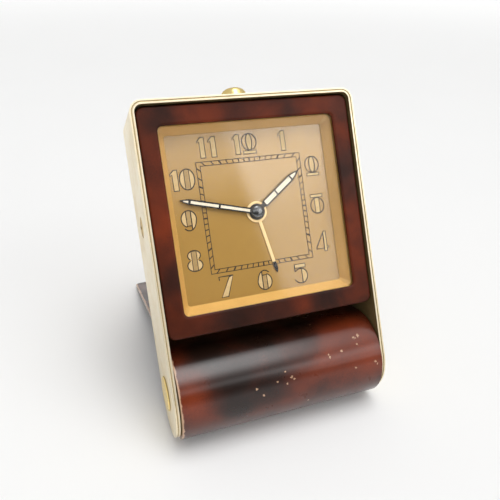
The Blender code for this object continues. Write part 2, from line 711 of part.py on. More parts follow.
def make_bezel(clock):
    """The lacquered square frame, with a rebate behind its lip for the glass."""
    rebate = CRYSTAL_SEAT + SEAT_GAP
    lip_back = BEZEL_FRONT + BEZEL_LIP
    middle = BEZEL_TOP - BEZEL_HEIGHT / 2
    outside = [
        (0.0, BEZEL_BACK),
        (0.0, BEZEL_FRONT + BEZEL_EDGE),
        (0.3 * BEZEL_EDGE, BEZEL_FRONT + 0.3 * BEZEL_EDGE),
        (BEZEL_EDGE, BEZEL_FRONT),
    ]
    inside = [
        (BEZEL_EDGE, BEZEL_FRONT, WINDOW_CORNER + 0.5 * BEZEL_EDGE),
        (0.0, BEZEL_FRONT + 0.6 * BEZEL_EDGE, WINDOW_CORNER),
        (0.0, lip_back, WINDOW_CORNER),
        (rebate, lip_back, WINDOW_CORNER),
        (rebate, BEZEL_BACK, WINDOW_CORNER),
    ]
    bm = bmesh.new()
    loops = []
    for inset, depth in outside:
        size = (BEZEL_WIDTH - 2 * inset, BEZEL_HEIGHT - 2 * inset)
        outline = rounded_box(*size, BEZEL_CORNER - 0.5 * inset, (0.0, middle))
        loops.append(add_loop(bm, outline, depth, "y")[0])
    for margin, depth, corner in inside:
        outline = rounded_box(WINDOW + 2 * margin, WINDOW + 2 * margin, corner, (0.0, DIAL_RISE))
        loops.append(add_loop(bm, outline, depth, "y")[0])
    for i in range(len(loops)):
        wall(bm, loops[i - 1], loops[i])
    add_object("bezel", bm, "lacquer", clock)


def make_dial(clock):
    """Glass, sloping flange and dial, one behind the other."""
    centre = (0.0, DIAL_RISE)
    pane = rounded_box(CRYSTAL_WIDTH, CRYSTAL_WIDTH, WINDOW_CORNER, centre)
    add_object("crystal", plate(pane, [], CRYSTAL_FRONT, CRYSTAL_BACK), "glass", clock)

    front, back = CRYSTAL_BACK + SEAT_GAP / 2, DIAL_FACE - SEAT_GAP / 2
    seat = CRYSTAL_SEAT - SEAT_GAP / 2
    outside = WINDOW + 2 * seat
    profile = [
        (0.0, front, WINDOW_CORNER),
        (0.0, back, WINDOW_CORNER),
        (seat + FLANGE_WIDTH, back, 0.5 * WINDOW_CORNER),
        (seat, front, WINDOW_CORNER),
    ]
    add_object("dial_flange", swept_frame(outside, outside, profile, centre), "gilt", clock)

    hole = circle(HANDS["alarm"]["pipe"] + RUN_GAP, 24, centre)
    sheet = rounded_box(outside, outside, WINDOW_CORNER, centre)
    dial = add_object("dial", plate(sheet, [hole], DIAL_FACE, DIAL_BACK), "dial", clock)
    for place in dial_foot_places():
        foot = circle(DIAL_FOOT_RADIUS, 12, (place[0], DIAL_RISE + place[1]))
        shape(dial, "UNION", plate(foot, [], DIAL_FACE + DIAL_THICK / 2, TRAIN_FRONT - SEAT_GAP))


def dial_foot_places():
    """The dial's two feet, which stand in holes of the front plate."""
    return [(-DIAL_FOOT_REACH, DIAL_FOOT_REACH), (DIAL_FOOT_REACH, -DIAL_FOOT_REACH)]


# Movement


def pivot_holes():
    """Place and radius of each arbor that both plates carry."""
    return [
        (BARREL_AT, BARREL_ARBOR),
        (ALARM_BARREL_PLACE, BARREL_ARBOR),
        (CENTRE_AT, TRAIN_ARBOR),
        (THIRD_AT, TRAIN_ARBOR),
        (FOURTH_AT, TRAIN_ARBOR),
        (ESCAPE_AT, TRAIN_ARBOR),
        (PALLET_AT, TRAIN_ARBOR),
        (STRIKE_AT, TRAIN_ARBOR),
        (HAMMER_AT, SET_ARBOR),
        (HAND_SET_AT, SET_ARBOR),
        (ALARM_SET_AT, SET_ARBOR),
    ]


def pillar_places():
    """The four corners of the movement."""
    reach = BACK_PLATE_WIDTH / 2 - PILLAR_INSET
    return [(side * reach, rise * reach) for rise in (1, -1) for side in (-1, 1)]


def make_plates(movement):
    """The two movement plates and the pillars between them."""
    holes = [circle(radius + RUN_GAP, 10, place) for place, radius in pivot_holes()]
    feet = [circle(DIAL_FOOT_RADIUS + RUN_GAP, 10, place) for place in dial_foot_places()]
    staff = [circle(TRAIN_ARBOR + RUN_GAP, 10, BALANCE_AT)]
    width, height = CASE_WIDTH - 2 * FRONT_PLATE_INSET, CASE_HEIGHT - 2 * FRONT_PLATE_INSET
    outline = rounded_box(width, height, FRONT_PLATE_CORNER, arc=3)
    front = plate(outline, [*holes, *feet, *staff], FRONT_PLATE, TRAIN_FRONT)
    add_object("front_plate", front, "brass", movement)

    back_holes = [
        circle(HAIRSPRING_RADIUS + HAIRSPRING_OPENING, 28, BALANCE_AT),
        circle(POST_RADIUS + POST_OPENING, 16, POST_AT),
        circle(SCREW_RADIUS + RUN_GAP, 10, COCK_FOOT_AT),
        *[circle(TRAIN_ARBOR + RUN_GAP, 10, place) for place in click_pivots()],
    ]
    outline = rounded_box(BACK_PLATE_WIDTH, BACK_PLATE_WIDTH, BACK_PLATE_CORNER, arc=4)
    back = plate(outline, [*holes, *back_holes], BACK_PLATE, BACK_PLATE_REAR)
    add_object("back_plate", back, "brass", movement)
    for number, place in enumerate(pillar_places(), 1):
        post = circle(PILLAR_RADIUS, 12, place)
        solid = plate(post, [], TRAIN_FRONT + SEAT_GAP / 2, BACK_PLATE - SEAT_GAP / 2)
        add_object(f"pillar_{number}", solid, "brass", movement)


def body_axis(name, movement, place):
    """The empty of a body that turns about an arbor at this place."""
    return add_empty(name, movement, (place.x, 0.0, place.y))


def wheel_levels(arbor_radius, toothed):
    """Rings of an arbor between the plates, with gears as rows of (outline, front, back) in order."""
    rod = circle(arbor_radius, 10)
    levels = [(rod, PIVOT_FRONT)]
    for outline, front, back in toothed:
        levels += [(rod, front), (outline, front), (outline, back), (rod, back)]
    return [*levels, (rod, PIVOT_BACK)]


def wheel_span(level, thick=WHEEL_THICK):
    """Front and back of a wheel at this level behind the front plate."""
    return TRAIN_FRONT + level, TRAIN_FRONT + level + thick


def pinion_span(level, thick=WHEEL_THICK):
    """Front and back of the pinion that meshes with the wheel at this level."""
    front, back = wheel_span(level, thick)
    return front - PINION_OVERHANG, back + PINION_OVERHANG


def make_barrel(movement, name, place, teeth, module, depth):
    """A toothed drum with its coiled spring, on an arbor with a ratchet."""
    axis = body_axis(f"{name}_axis", movement, place)
    disc_front = TRAIN_FRONT + BARREL_LEVEL
    disc_back = disc_front + BARREL_TOOTH_WIDTH
    floor = disc_back + BARREL_FLOOR
    drum = teeth * module / 2 - BARREL_RIM
    bore = circle(BARREL_ARBOR + RUN_GAP, 20)
    toothed = gear(teeth, module)
    drum_out, drum_in = circle(drum, 32), circle(drum - BARREL_WALL, 32)
    levels = [
        (toothed, disc_front),
        (toothed, disc_back),
        (drum_out, disc_back),
        (drum_out, disc_front + depth),
        (drum_in, disc_front + depth),
        (drum_in, floor),
        (bore, floor),
        (bore, disc_front),
    ]
    add_object(name, rings(levels, closed=True), "brass", axis)
    end = drum - BARREL_WALL - MAINSPRING_END
    path = spiral(BARREL_ARBOR + MAINSPRING_START, end, SPRING_TURNS, TURN_STEPS)
    gap = least_turn_gap(path, TURN_STEPS, MAINSPRING_THICK)
    print(f"{name} spring: least gap between turns {gap:.2f} mm")
    ribbon = swept_ribbon(path, MAINSPRING_THICK / 2, floor + SEAT_GAP, disc_front + depth - SEAT_GAP)
    add_object(f"{name}_mainspring", ribbon, "steel", axis)


def make_winding(movement, place, key, arbor_name):
    """The barrel's arbor with its ratchet wheel, and the key on the arbor's rear end."""
    axis = body_axis(f"{key}_axis", movement, place)
    ratchet = saw_gear(RATCHET_TEETH, RATCHET_RADIUS, RATCHET_DEPTH)
    ratchet_front = BACK_PLATE_REAR + RATCHET_LIFT
    ratchet_back = ratchet_front + RATCHET_THICK
    rod_end = BACK_COVER - 3 * SEAT_GAP
    rod = circle(BARREL_ARBOR, 16)
    levels = [
        (rod, PIVOT_FRONT),
        (rod, ratchet_front),
        (ratchet, ratchet_front),
        (ratchet, ratchet_back),
        (rod, ratchet_back),
        (rod, rod_end),
    ]
    add_object(arbor_name, rings(levels), "steel", axis)
    stem, grip = circle(KEY_STEM, 16), key_outline()
    grip_front = BACK_FACE + 2 * SEAT_GAP
    levels = [
        (stem, rod_end + SEAT_GAP),
        (stem, grip_front),
        (grip, grip_front),
        (grip, grip_front + KEY_DEPTH),
    ]
    add_object(key, rings(levels), "brass", axis)


def key_outline():
    """A winding key's grip: a round boss with two wings."""
    boss, wing, steps = KEY_BOSS, KEY_WING, 8
    points = []
    for side in (0.0, math.pi):
        for i in range(steps + 1):
            angle = side - math.pi / 2 + math.pi * i / steps
            centre = (KEY_SPAN / 2 - 2.0 * wing) * math.cos(side)
            points.append((centre + 2.0 * wing * math.cos(angle), wing * math.sin(angle)))
        for i in range(1, steps):
            angle = side + math.asin(wing / boss) + (math.pi - 2 * math.asin(wing / boss)) * i / steps
            points.append((boss * math.cos(angle), boss * math.sin(angle)))
    return points


def click_pivots():
    """Where the two clicks pivot on the back plate."""
    reach = RATCHET_RADIUS + CLICK_REACH
    return [
        step_out(BARREL_AT, CLICK_BEARING, reach),
        step_out(ALARM_BARREL_PLACE, ALARM_CLICK_BEARING, reach),
    ]


def make_clicks(movement):
    """The pawls that hold the ratchets."""
    front = BACK_PLATE_REAR + RATCHET_LIFT
    back = front + RATCHET_THICK
    wheels = (BARREL_AT, ALARM_BARREL_PLACE)
    for name, pivot, wheel in zip(("click", "alarm_click"), click_pivots(), wheels):
        axis = body_axis(f"{name}_axis", movement, pivot)
        side = 1 if name == "click" else -1
        toward = (wheel - pivot).normalized()
        tip = Vector((-toward.y, toward.x)) * CLICK_LENGTH * side + toward * CLICK_LEAN
        lever = bar((0.0, 0.0), tip, CLICK_WIDTH)
        rod = circle(TRAIN_ARBOR, 12)
        levels = [(rod, BACK_PLATE + SEAT_GAP), (rod, front), (lever, front), (lever, back)]
        add_object(name, rings(levels), "steel", axis)


def make_train(movement):
    """Going barrel, centre, third, fourth and escape wheels, meshed in that order."""
    centre_phase = meshed(0.0, BARREL_TEETH, CENTRE_PINION_TEETH, BARREL_BEARING + math.pi)
    third_phase = meshed(0.0, CENTRE_TEETH, THIRD_PINION_TEETH, THIRD_BEARING)
    fourth_phase = meshed(0.0, THIRD_TEETH, FOURTH_PINION_TEETH, FOURTH_BEARING)
    escape_phase = meshed(0.0, FOURTH_TEETH, ESCAPE_PINION_TEETH, ESCAPE_BEARING)
    make_barrel(movement, "going_barrel", BARREL_AT, BARREL_TEETH, BARREL_MODULE, BARREL_DEPTH)

    axis = body_axis("centre_axis", movement, CENTRE_AT)
    pinion = gear(CENTRE_PINION_TEETH, BARREL_MODULE, centre_phase)
    wheel = gear(CENTRE_TEETH, CENTRE_MODULE)
    toothed = [(pinion, *pinion_span(BARREL_LEVEL, BARREL_TOOTH_WIDTH)), (wheel, *wheel_span(CENTRE_LEVEL))]
    levels = wheel_levels(TRAIN_ARBOR, toothed)
    levels[0] = (circle(TRAIN_ARBOR, 10), hand_level("minute") + SEAT_GAP)
    add_object("centre_wheel", rings(levels), "brass", axis)

    third_pinion = gear(THIRD_PINION_TEETH, CENTRE_MODULE, third_phase)
    fourth_pinion = gear(FOURTH_PINION_TEETH, THIRD_MODULE, fourth_phase)
    escape_pinion = gear(ESCAPE_PINION_TEETH, FOURTH_MODULE, escape_phase)
    third = gear(THIRD_TEETH, THIRD_MODULE)
    fourth = gear(FOURTH_TEETH, FOURTH_MODULE)
    escape = saw_gear(ESCAPE_TEETH, ESCAPE_RADIUS, ESCAPE_DEPTH)
    for name, place, wheel, level, pinion, driver_level in (
        ("third_wheel", THIRD_AT, third, THIRD_LEVEL, third_pinion, CENTRE_LEVEL),
        ("fourth_wheel", FOURTH_AT, fourth, FOURTH_LEVEL, fourth_pinion, THIRD_LEVEL),
        ("escape_wheel", ESCAPE_AT, escape, ESCAPE_LEVEL, escape_pinion, FOURTH_LEVEL),
    ):
        toothed = [(wheel, *wheel_span(level)), (pinion, *pinion_span(driver_level))]
        levels = wheel_levels(TRAIN_ARBOR, sorted(toothed, key=lambda row: row[1]))
        add_object(name, rings(levels), "brass", body_axis(f"{name}_axis", movement, place))


def make_escapement(movement):
    """Pallet lever, balance, hairspring, and the cock that carries the balance."""
    axis = body_axis("pallet_axis", movement, PALLET_AT)
    reach = BALANCE_DISTANCE - PALLET_DISTANCE - ROLLER_RADIUS - TOOTH_GAP
    pin_circle = ESCAPE_RADIUS + TOOTH_GAP + PALLET_PIN
    turned = Matrix.Rotation(PALLET_BEARING, 2)
    fork = [(reach, FORK_SLOT), (reach, FORK_HALF), (reach - 0.8, FORK_HALF), (reach - 1.1, LEVER_HALF)]
    arm = [(0.6, LEVER_HALF), (-0.8, 2.75), (-1.7, 2.7), (-0.6, 0.0)]
    half = fork + arm
    lower = [(x, -y) for x, y in half[-2::-1]]
    notch = [(reach - 0.7, -FORK_SLOT), (reach - 0.7, FORK_SLOT)]
    outline = [tuple(turned @ Vector(point)) for point in [*half, *lower, *notch]]
    lever_front = TRAIN_FRONT + ESCAPE_LEVEL + WHEEL_THICK + SEAT_GAP
    lever_back = lever_front + LEVER_THICK
    lever = add_object("pallet_lever", plate(outline, [], lever_front, lever_back), "steel", axis)
    shape(lever, "UNION", rings(arbor([(TRAIN_ARBOR, PIVOT_FRONT, PIVOT_BACK)])))
    for side in (-1, 1):
        across = pin_circle * math.sin(math.pi / 4)
        spot = Vector((across - PALLET_DISTANCE, side * across))
        pin = circle(PALLET_PIN, 8, turned @ spot)
        shape(lever, "UNION", plate(pin, [], TRAIN_FRONT + ESCAPE_LEVEL, (lever_front + lever_back) / 2))

    axis = body_axis("balance_axis", movement, BALANCE_AT)
    rim_front, rim_back = wheel_span(BALANCE_LEVEL, BALANCE_RIM)
    inner, arm = BALANCE_RADIUS - BALANCE_RIM, BALANCE_ARM / 2
    windows = []
    for side in (0.0, math.pi):
        first = math.asin(arm / inner)
        window = []
        for i in range(TURN_STEPS + 1):
            angle = side + first + (math.pi - 2 * first) * i / TURN_STEPS
            window.append((inner * math.cos(angle), inner * math.sin(angle)))
        windows.append(window)
    rim = plate(circle(BALANCE_RADIUS, 36), windows, rim_front, rim_back)
    wheel = add_object("balance_wheel", rim, "brass", axis)
    cock_front = BACK_PLATE_REAR + SEAT_GAP / 2
    cock_back = cock_front + COCK_THICK
    roller_front, roller_back = lever_front - SEAT_GAP / 2, lever_back + SEAT_GAP / 2
    staff = [(TRAIN_ARBOR, PIVOT_FRONT, roller_front), (ROLLER_RADIUS, roller_front, roller_back)]
    staff.append((TRAIN_ARBOR, roller_back, cock_back - SEAT_GAP))
    shape(wheel, "UNION", rings(arbor(staff)))
    path = spiral(ROLLER_RADIUS, HAIRSPRING_RADIUS, SPRING_TURNS, TURN_STEPS)
    gap = least_turn_gap(path, TURN_STEPS, HAIRSPRING_THICK)
    print(f"hairspring: least gap between turns {gap:.2f} mm")
    spring_front = BACK_PLATE - SEAT_GAP
    spring = swept_ribbon(path, HAIRSPRING_THICK / 2, spring_front, spring_front + HAIRSPRING_WIDTH)
    add_object("hairspring", spring, "steel", axis)

    hole = circle(TRAIN_ARBOR + RUN_GAP, 12, BALANCE_AT)
    screw_hole = circle(SCREW_RADIUS + RUN_GAP, 12, COCK_FOOT_AT)
    outline = bar(COCK_FOOT_AT, BALANCE_AT, COCK_WIDTH, 10)
    add_object("balance_cock", plate(outline, [hole, screw_hole], cock_front, cock_back), "brass", movement)
    head = cock_back + SEAT_GAP / 2
    levels = [
        (circle(SCREW_RADIUS, 12, COCK_FOOT_AT), BACK_PLATE + SEAT_GAP),
        (circle(SCREW_RADIUS, 12, COCK_FOOT_AT), head),
        (circle(SCREW_HEAD_RADIUS, 16, COCK_FOOT_AT), head),
        (circle(SCREW_HEAD_RADIUS, 16, COCK_FOOT_AT), head + SCREW_HEAD_RISE),
    ]
    add_object("cock_screw", rings(levels), "steel", movement)


def make_alarm_train(movement):
    """Alarm barrel, strike wheel and the hammer that the strike wheel rocks."""
    place, depth = ALARM_BARREL_PLACE, ALARM_BARREL_DEPTH
    make_barrel(movement, "alarm_barrel", place, ALARM_BARREL_TEETH, STRIKE_MODULE, depth)
    phase = meshed(0.0, ALARM_BARREL_TEETH, STRIKE_PINION_TEETH, STRIKE_BEARING)
    pinion = gear(STRIKE_PINION_TEETH, STRIKE_MODULE, phase)
    wheel = saw_gear(STRIKE_TEETH, STRIKE_RADIUS, STRIKE_DEPTH)
    toothed = [(pinion, *pinion_span(BARREL_LEVEL, BARREL_TOOTH_WIDTH)), (wheel, *wheel_span(STRIKE_LEVEL))]
    levels = wheel_levels(TRAIN_ARBOR, toothed)
    add_object("strike_wheel", rings(levels), "brass", body_axis("strike_axis", movement, STRIKE_AT))

    axis = body_axis("hammer_axis", movement, HAMMER_AT)
    back, front = HAMMER_BACK, HAMMER_BACK - HAMMER_THICK
    inside = (front + back) / 2
    head = HAMMER_HEAD_AT - HAMMER_AT
    arm = plate(bar((0.0, 0.0), head, HAMMER_WIDTH), [], front, back)
    hammer = add_object("alarm_hammer", arm, "steel", axis)
    shape(hammer, "UNION", rings(arbor([(SET_ARBOR, PIVOT_FRONT, PIVOT_BACK)])))
    weight = circle(HAMMER_HEAD_RADIUS, 16, head)
    shape(hammer, "UNION", plate(weight, [], TRAIN_FRONT + HAMMER_HEAD_LEVEL, inside))
    pin_circle = STRIKE_RADIUS + TOOTH_GAP + HAMMER_PIN
    turned = Matrix.Rotation(HAMMER_BEARING, 2)
    for swing in (-HAMMER_PIN_SPREAD, HAMMER_PIN_SPREAD):
        spot = Vector((pin_circle * math.cos(swing) - HAMMER_DISTANCE, pin_circle * math.sin(swing)))
        pin = turned @ spot
        shape(hammer, "UNION", plate(bar((0.0, 0.0), pin, HAMMER_WIDTH), [], front, back))
        shape(hammer, "UNION", plate(circle(HAMMER_PIN, 8, pin), [], TRAIN_FRONT + STRIKE_LEVEL, inside))


# Hands, motion work and setting


def hand_level(name):
    """Front of a hand: the alarm hand lies on the dial, then the hour hand, then the minute hand."""
    order = ("alarm", "hour", "minute").index(name)
    return DIAL_FACE - DIAL_CLEARANCE - HAND_THICK - HAND_STEP * order


def hand_outline(sizes):
    """A baton hand that points up: straight sides, a short point and a square tail."""
    length, tail, width = sizes["length"], sizes["tail"], sizes["width"]
    return [
        (width / 2, -tail),
        (width / 2, length - sizes["point"]),
        (HAND_TIP / 2, length),
        (-HAND_TIP / 2, length),
        (-width / 2, length - sizes["point"]),
        (-width / 2, -tail),
    ]


def turned_by(outline, clockwise):
    """An outline turned clockwise, as seen from the front."""
    turn = Matrix.Rotation(-clockwise, 2)
    return [tuple(turn @ Vector(point)) for point in outline]


def make_hand(name, axis, angle, finish):
    """A hand: a thin baton round a boss that sits on its pipe."""
    sizes = HANDS[name]
    front = hand_level(name)
    back = front + HAND_THICK
    outline = turned_by(hand_outline(sizes), angle)
    hand = add_object(f"{name}_hand", plate(outline, [], front, back), finish, axis)
    boss = circle(sizes["boss"], 28)
    shape(hand, "UNION", plate(boss, [], front - HAND_BOSS_SWELL, back + HAND_BOSS_SWELL))
    bore = circle(sizes["pipe"] + SEAT_GAP / 2, 20)
    shape(hand, "DIFFERENCE", plate(bore, [], front - CUT_MARGIN, back + CUT_MARGIN))


def pipe(name, outline, lift, thick, bore):
    """A wheel lifted off the front plate, on a pipe that reaches forward through the dial to its hand."""
    tube, inside = circle(HANDS[name]["pipe"], 20), circle(bore + RUN_GAP, 20)
    back = FRONT_PLATE - lift
    front = back - thick
    levels = [
        (tube, hand_level(name)),
        (tube, front),
        (outline, front),
        (outline, back),
        (inside, back),
        (inside, hand_level(name)),
    ]
    return rings(levels, closed=True)


def make_motion_work(movement):
    """Cannon pinion, minute wheel, hour wheel and alarm wheel, with the hands on their pipes."""
    down, right = -math.pi / 2, 0.0
    minute_angle = 2 * math.pi * MINUTES / 60
    hour_angle = 2 * math.pi * (HOURS + MINUTES / 60) / 12
    alarm_angle = 2 * math.pi * ALARM_HOURS / 12
    minute_phase = meshed(0.0, CANNON_TEETH, MINUTE_TEETH, down)
    hour_phase = meshed(0.0, MINUTE_PINION_TEETH, HOUR_TEETH, down + math.pi)
    set_phase = meshed(0.0, ALARM_TEETH, SET_PINION_TEETH, right)

    axis = body_axis("minute_axis", movement, CENTRE_AT)
    make_hand("minute", axis, minute_angle, "black")
    cannon = gear(CANNON_TEETH, MOTION_MODULE)
    solid = pipe("minute", cannon, CANNON_LIFT, CANNON_WIDTH, TRAIN_ARBOR)
    add_object("cannon_pinion", solid, "steel", axis)
    cap_back = hand_level("minute") - SEAT_GAP / 2
    levels = [
        (circle(HAND_CAP_RADIUS, 24), cap_back),
        (circle(0.88 * HAND_CAP_RADIUS, 24), cap_back - 0.55 * HAND_CAP_RISE),
        (circle(0.5 * HAND_CAP_RADIUS, 24), cap_back - HAND_CAP_RISE),
    ]
    add_object("hand_cap", rings(levels), "black", axis)

    axis = body_axis("hour_axis", movement, CENTRE_AT)
    make_hand("hour", axis, hour_angle, "black")
    wheel = gear(HOUR_TEETH, MOTION_MODULE, hour_phase)
    solid = pipe("hour", wheel, HOUR_WHEEL_LIFT, WHEEL_THICK, HANDS["minute"]["pipe"])
    add_object("hour_wheel", solid, "brass", axis)

    axis = body_axis("alarm_axis", movement, CENTRE_AT)
    make_hand("alarm", axis, alarm_angle, "brass")
    wheel = gear(ALARM_TEETH, ALARM_SET_MODULE)
    solid = pipe("alarm", wheel, ALARM_WHEEL_LIFT, ALARM_WHEEL_THICK, HANDS["hour"]["pipe"])
    add_object("alarm_wheel", solid, "brass", axis)

    axis = body_axis("hand_set_axis", movement, HAND_SET_AT)
    rod, rod_end = circle(SET_ARBOR, 12), BACK_FACE + SEAT_GAP / 2
    wheel = gear(MINUTE_TEETH, MOTION_MODULE, minute_phase)
    pinion = gear(MINUTE_PINION_TEETH, MOTION_MODULE)
    wheel_back = FRONT_PLATE - MINUTE_WHEEL_LIFT
    wheel_front = wheel_back - WHEEL_THICK
    levels = [
        (pinion, FRONT_PLATE - HOUR_WHEEL_LIFT - WHEEL_THICK - MOTION_OVERHANG),
        (pinion, wheel_front),
        (wheel, wheel_front),
        (wheel, wheel_back),
        (rod, wheel_back),
        (rod, rod_end),
    ]
    add_object("minute_wheel", rings(levels), "brass", axis)
    make_knob("hand_set_knob", axis)

    axis = body_axis("alarm_set_axis", movement, ALARM_SET_AT)
    pinion = gear(SET_PINION_TEETH, ALARM_SET_MODULE, set_phase)
    pinion_back = FRONT_PLATE - ALARM_WHEEL_LIFT + MOTION_OVERHANG
    levels = [
        (pinion, FRONT_PLATE - ALARM_WHEEL_LIFT - ALARM_WHEEL_THICK - MOTION_OVERHANG / 2),
        (pinion, pinion_back),
        (rod, pinion_back),
        (rod, rod_end),
    ]
    add_object("alarm_set_arbor", rings(levels), "steel", axis)
    make_knob("alarm_set_knob", axis)


def make_knob(name, axis):
    """A ribbed setting knob on the rear end of its arbor."""
    front = BACK_FACE + 1.5 * SEAT_GAP
    groove = KNOB_GROOVE * KNOB_RADIUS
    points = []
    for i in range(KNOB_RIBS):
        for share, radius in ((0.0, KNOB_RADIUS), (0.5, KNOB_RADIUS), (0.6, groove), (0.9, groove)):
            angle = 2 * math.pi * (i + share) / KNOB_RIBS
            points.append((radius * math.cos(angle), radius * math.sin(angle)))
    levels = [
        (points, front),
        (points, front + KNOB_DEPTH - KNOB_BEVEL),
        ([(0.86 * x, 0.86 * y) for x, y in points], front + KNOB_DEPTH),
    ]
    add_object(name, rings(levels), "brass", axis)


# Stop button


def make_button(clock):
    """The domed stop button on top, its stem down to the hammer, and the spring under its cap."""
    axis = add_empty("button_axis", clock, (0.0, 0.0, FRAME_RISE))
    skirt = BUTTON_TRAVEL + SEAT_GAP
    shoulder = BUTTON_RISE - BUTTON_SHOULDER
    cap_inside = BUTTON_RISE - BUTTON_CROWN
    hammer_top = DIAL_RISE + HAMMER_HEAD_AT.y + HAMMER_HEAD_RADIUS
    stem_end = hammer_top + BUTTON_CLEARANCE + BUTTON_TRAVEL - FRAME_RISE
    outer, inner, stem = BUTTON_RADIUS, BUTTON_RADIUS - BUTTON_WALL, circle(BUTTON_STEM, 16)
    levels = [
        (stem, stem_end),
        (stem, cap_inside),
        (circle(inner, 24), cap_inside),
        (circle(inner, 24), skirt),
        (circle(outer, 24), skirt),
        (circle(outer, 24), shoulder),
        (circle(0.93 * outer, 24), BUTTON_RISE - 0.63 * BUTTON_SHOULDER),
        (circle(0.8 * outer, 24), BUTTON_RISE - 0.36 * BUTTON_SHOULDER),
        (circle(0.58 * outer, 24), BUTTON_RISE - 0.15 * BUTTON_SHOULDER),
        (circle(0.3 * outer, 24), BUTTON_RISE - 0.03 * BUTTON_SHOULDER),
        (circle(0.1 * outer, 24), BUTTON_RISE),
    ]
    add_object("stop_button", rings(levels, "z"), "brass", axis)

    coil = (BUTTON_STEM + inner) / 2
    low, high = SEAT_GAP + SPRING_WIRE, cap_inside - SEAT_GAP - SPRING_WIRE
    steps = 9
    path = []
    count = SPRING_CURLS * steps
    for i in range(count + 1):
        angle = 2 * math.pi * i / steps
        path.append((coil * math.cos(angle), coil * math.sin(angle), low + (high - low) * i / count))
    print(f"button spring: least gap between curls {least_turn_gap(path, steps, 2 * SPRING_WIRE):.2f} mm")
    add_object("button_spring", tube(path, SPRING_WIRE, 5), "steel", clock, (0.0, 0.0, FRAME_RISE))


def tube(path, radius, sides):
    """A round wire along a helix about z."""
    bm = bmesh.new()
    loops = []
    for i, point in enumerate(path):
        ahead = (Vector(path[min(i + 1, len(path) - 1)]) - Vector(path[max(i - 1, 0)])).normalized()
        out = Vector((point[0], point[1], 0.0)).normalized()
        up = ahead.cross(out).normalized()
        out = up.cross(ahead)
        turn = 2 * math.pi / sides
        ring = [
            bm.verts.new(Vector(point) + radius * (math.cos(k * turn) * out + math.sin(k * turn) * up))
            for k in range(sides)
        ]
        loops.append(ring)
    for first, second in zip(loops, loops[1:]):
        wall(bm, first, second)
    bm.faces.new(loops[0])
    bm.faces.new(loops[-1])
    return bm


def main():
    """Clears the scene and builds the clock, standing on the table's surface at z = 0."""
    for obj in list(bpy.data.objects):
        bpy.data.objects.remove(obj)
    middle = (TIP_REACH - COVER_RADIUS) / 2
    clock = add_empty("clock_axes", place=(0.0, -middle, COVER_RADIUS), tilt=-LEAN)
    movement = add_empty("movement_axes", clock, (0.0, 0.0, DIAL_RISE))
    make_frame(clock)
    make_hinge_rivets(clock)
    make_cover(clock)
    make_case(clock)
    make_back_cover(clock)
    make_bezel(clock)
    make_dial(clock)
    make_plates(movement)
    make_train(movement)
    make_escapement(movement)
    make_winding(movement, BARREL_AT, "winding_key", "barrel_arbor")
    make_alarm_train(movement)
    make_winding(movement, ALARM_BARREL_PLACE, "alarm_key", "alarm_barrel_arbor")
    make_clicks(movement)
    make_motion_work(movement)
    make_button(clock)


if __name__ == "__main__":
    main()
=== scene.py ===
"""Looks of the folding travel alarm clock: gilt strap, tortoiseshell lacquer, printed dial and hands."""
from __future__ import annotations

import json
import logging
import math
from dataclasses import dataclass
from enum import Enum
from typing import Any, Callable, Sequence

import bpy
from mathutils import Matrix, Vector

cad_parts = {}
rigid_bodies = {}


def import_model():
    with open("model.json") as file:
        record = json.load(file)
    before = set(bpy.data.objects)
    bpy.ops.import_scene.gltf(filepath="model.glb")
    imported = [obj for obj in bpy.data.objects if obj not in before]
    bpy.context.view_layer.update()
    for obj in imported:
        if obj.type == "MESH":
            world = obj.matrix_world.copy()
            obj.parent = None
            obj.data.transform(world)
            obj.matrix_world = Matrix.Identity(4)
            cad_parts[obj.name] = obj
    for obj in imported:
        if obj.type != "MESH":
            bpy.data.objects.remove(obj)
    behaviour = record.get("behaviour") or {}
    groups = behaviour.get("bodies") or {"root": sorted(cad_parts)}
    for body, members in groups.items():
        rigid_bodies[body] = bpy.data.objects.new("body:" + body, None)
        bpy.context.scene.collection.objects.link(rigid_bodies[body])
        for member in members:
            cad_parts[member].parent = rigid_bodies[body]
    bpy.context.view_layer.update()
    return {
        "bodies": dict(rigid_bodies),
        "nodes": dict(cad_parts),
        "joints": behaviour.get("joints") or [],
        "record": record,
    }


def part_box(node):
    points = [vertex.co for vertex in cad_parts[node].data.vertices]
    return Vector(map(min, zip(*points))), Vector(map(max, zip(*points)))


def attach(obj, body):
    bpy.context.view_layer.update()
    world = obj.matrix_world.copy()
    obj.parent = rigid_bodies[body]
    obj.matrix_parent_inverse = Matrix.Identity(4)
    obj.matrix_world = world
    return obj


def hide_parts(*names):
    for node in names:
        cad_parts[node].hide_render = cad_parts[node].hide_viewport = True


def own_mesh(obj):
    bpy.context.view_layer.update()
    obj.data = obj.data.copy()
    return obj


LOG = logging.getLogger("travel_clock")

Colour = Triple = tuple[float, float, float]
Point = Band = tuple[float, float]
Cloud = tuple[float, float, float, float]
Outline = list[Point]
Line = tuple[Sequence[Any], bool]
Piece = bpy.types.Object

MM = 0.001
LEAN = math.radians(28.0)
HINGE = Vector((0.0, -0.0321191, 0.0129))
# The dial in the clock's axes, which start at the hinge and lean with the case, in mm
DIAL_RISE = 46.8
DIAL_FACE = -6.0
CLOCK_AXES = Matrix.Translation(HINGE) @ Matrix.Rotation(-LEAN, 4, "X") @ Matrix.Scale(MM, 4)
SIDES = ("left", "right")
MERGE_GAP = 0.002
# Angles between faces: taken as flat, rounded off, and kept sharp in the shading
FLAT_ANGLE, EDGE_ANGLE, SMOOTH_ANGLE = (math.radians(angle) for angle in (0.3, 32.0, 38.0))
# Cosines that tell which way a face looks
ALONG, HARDLY, INWARDS = 0.9, 0.2, -0.3
# Degrees between points of an arc, its fewest points, and the steps in half a leaf
ARC_STEP, ARC_LEAST, LEAF_STEPS = 12, 6, 8
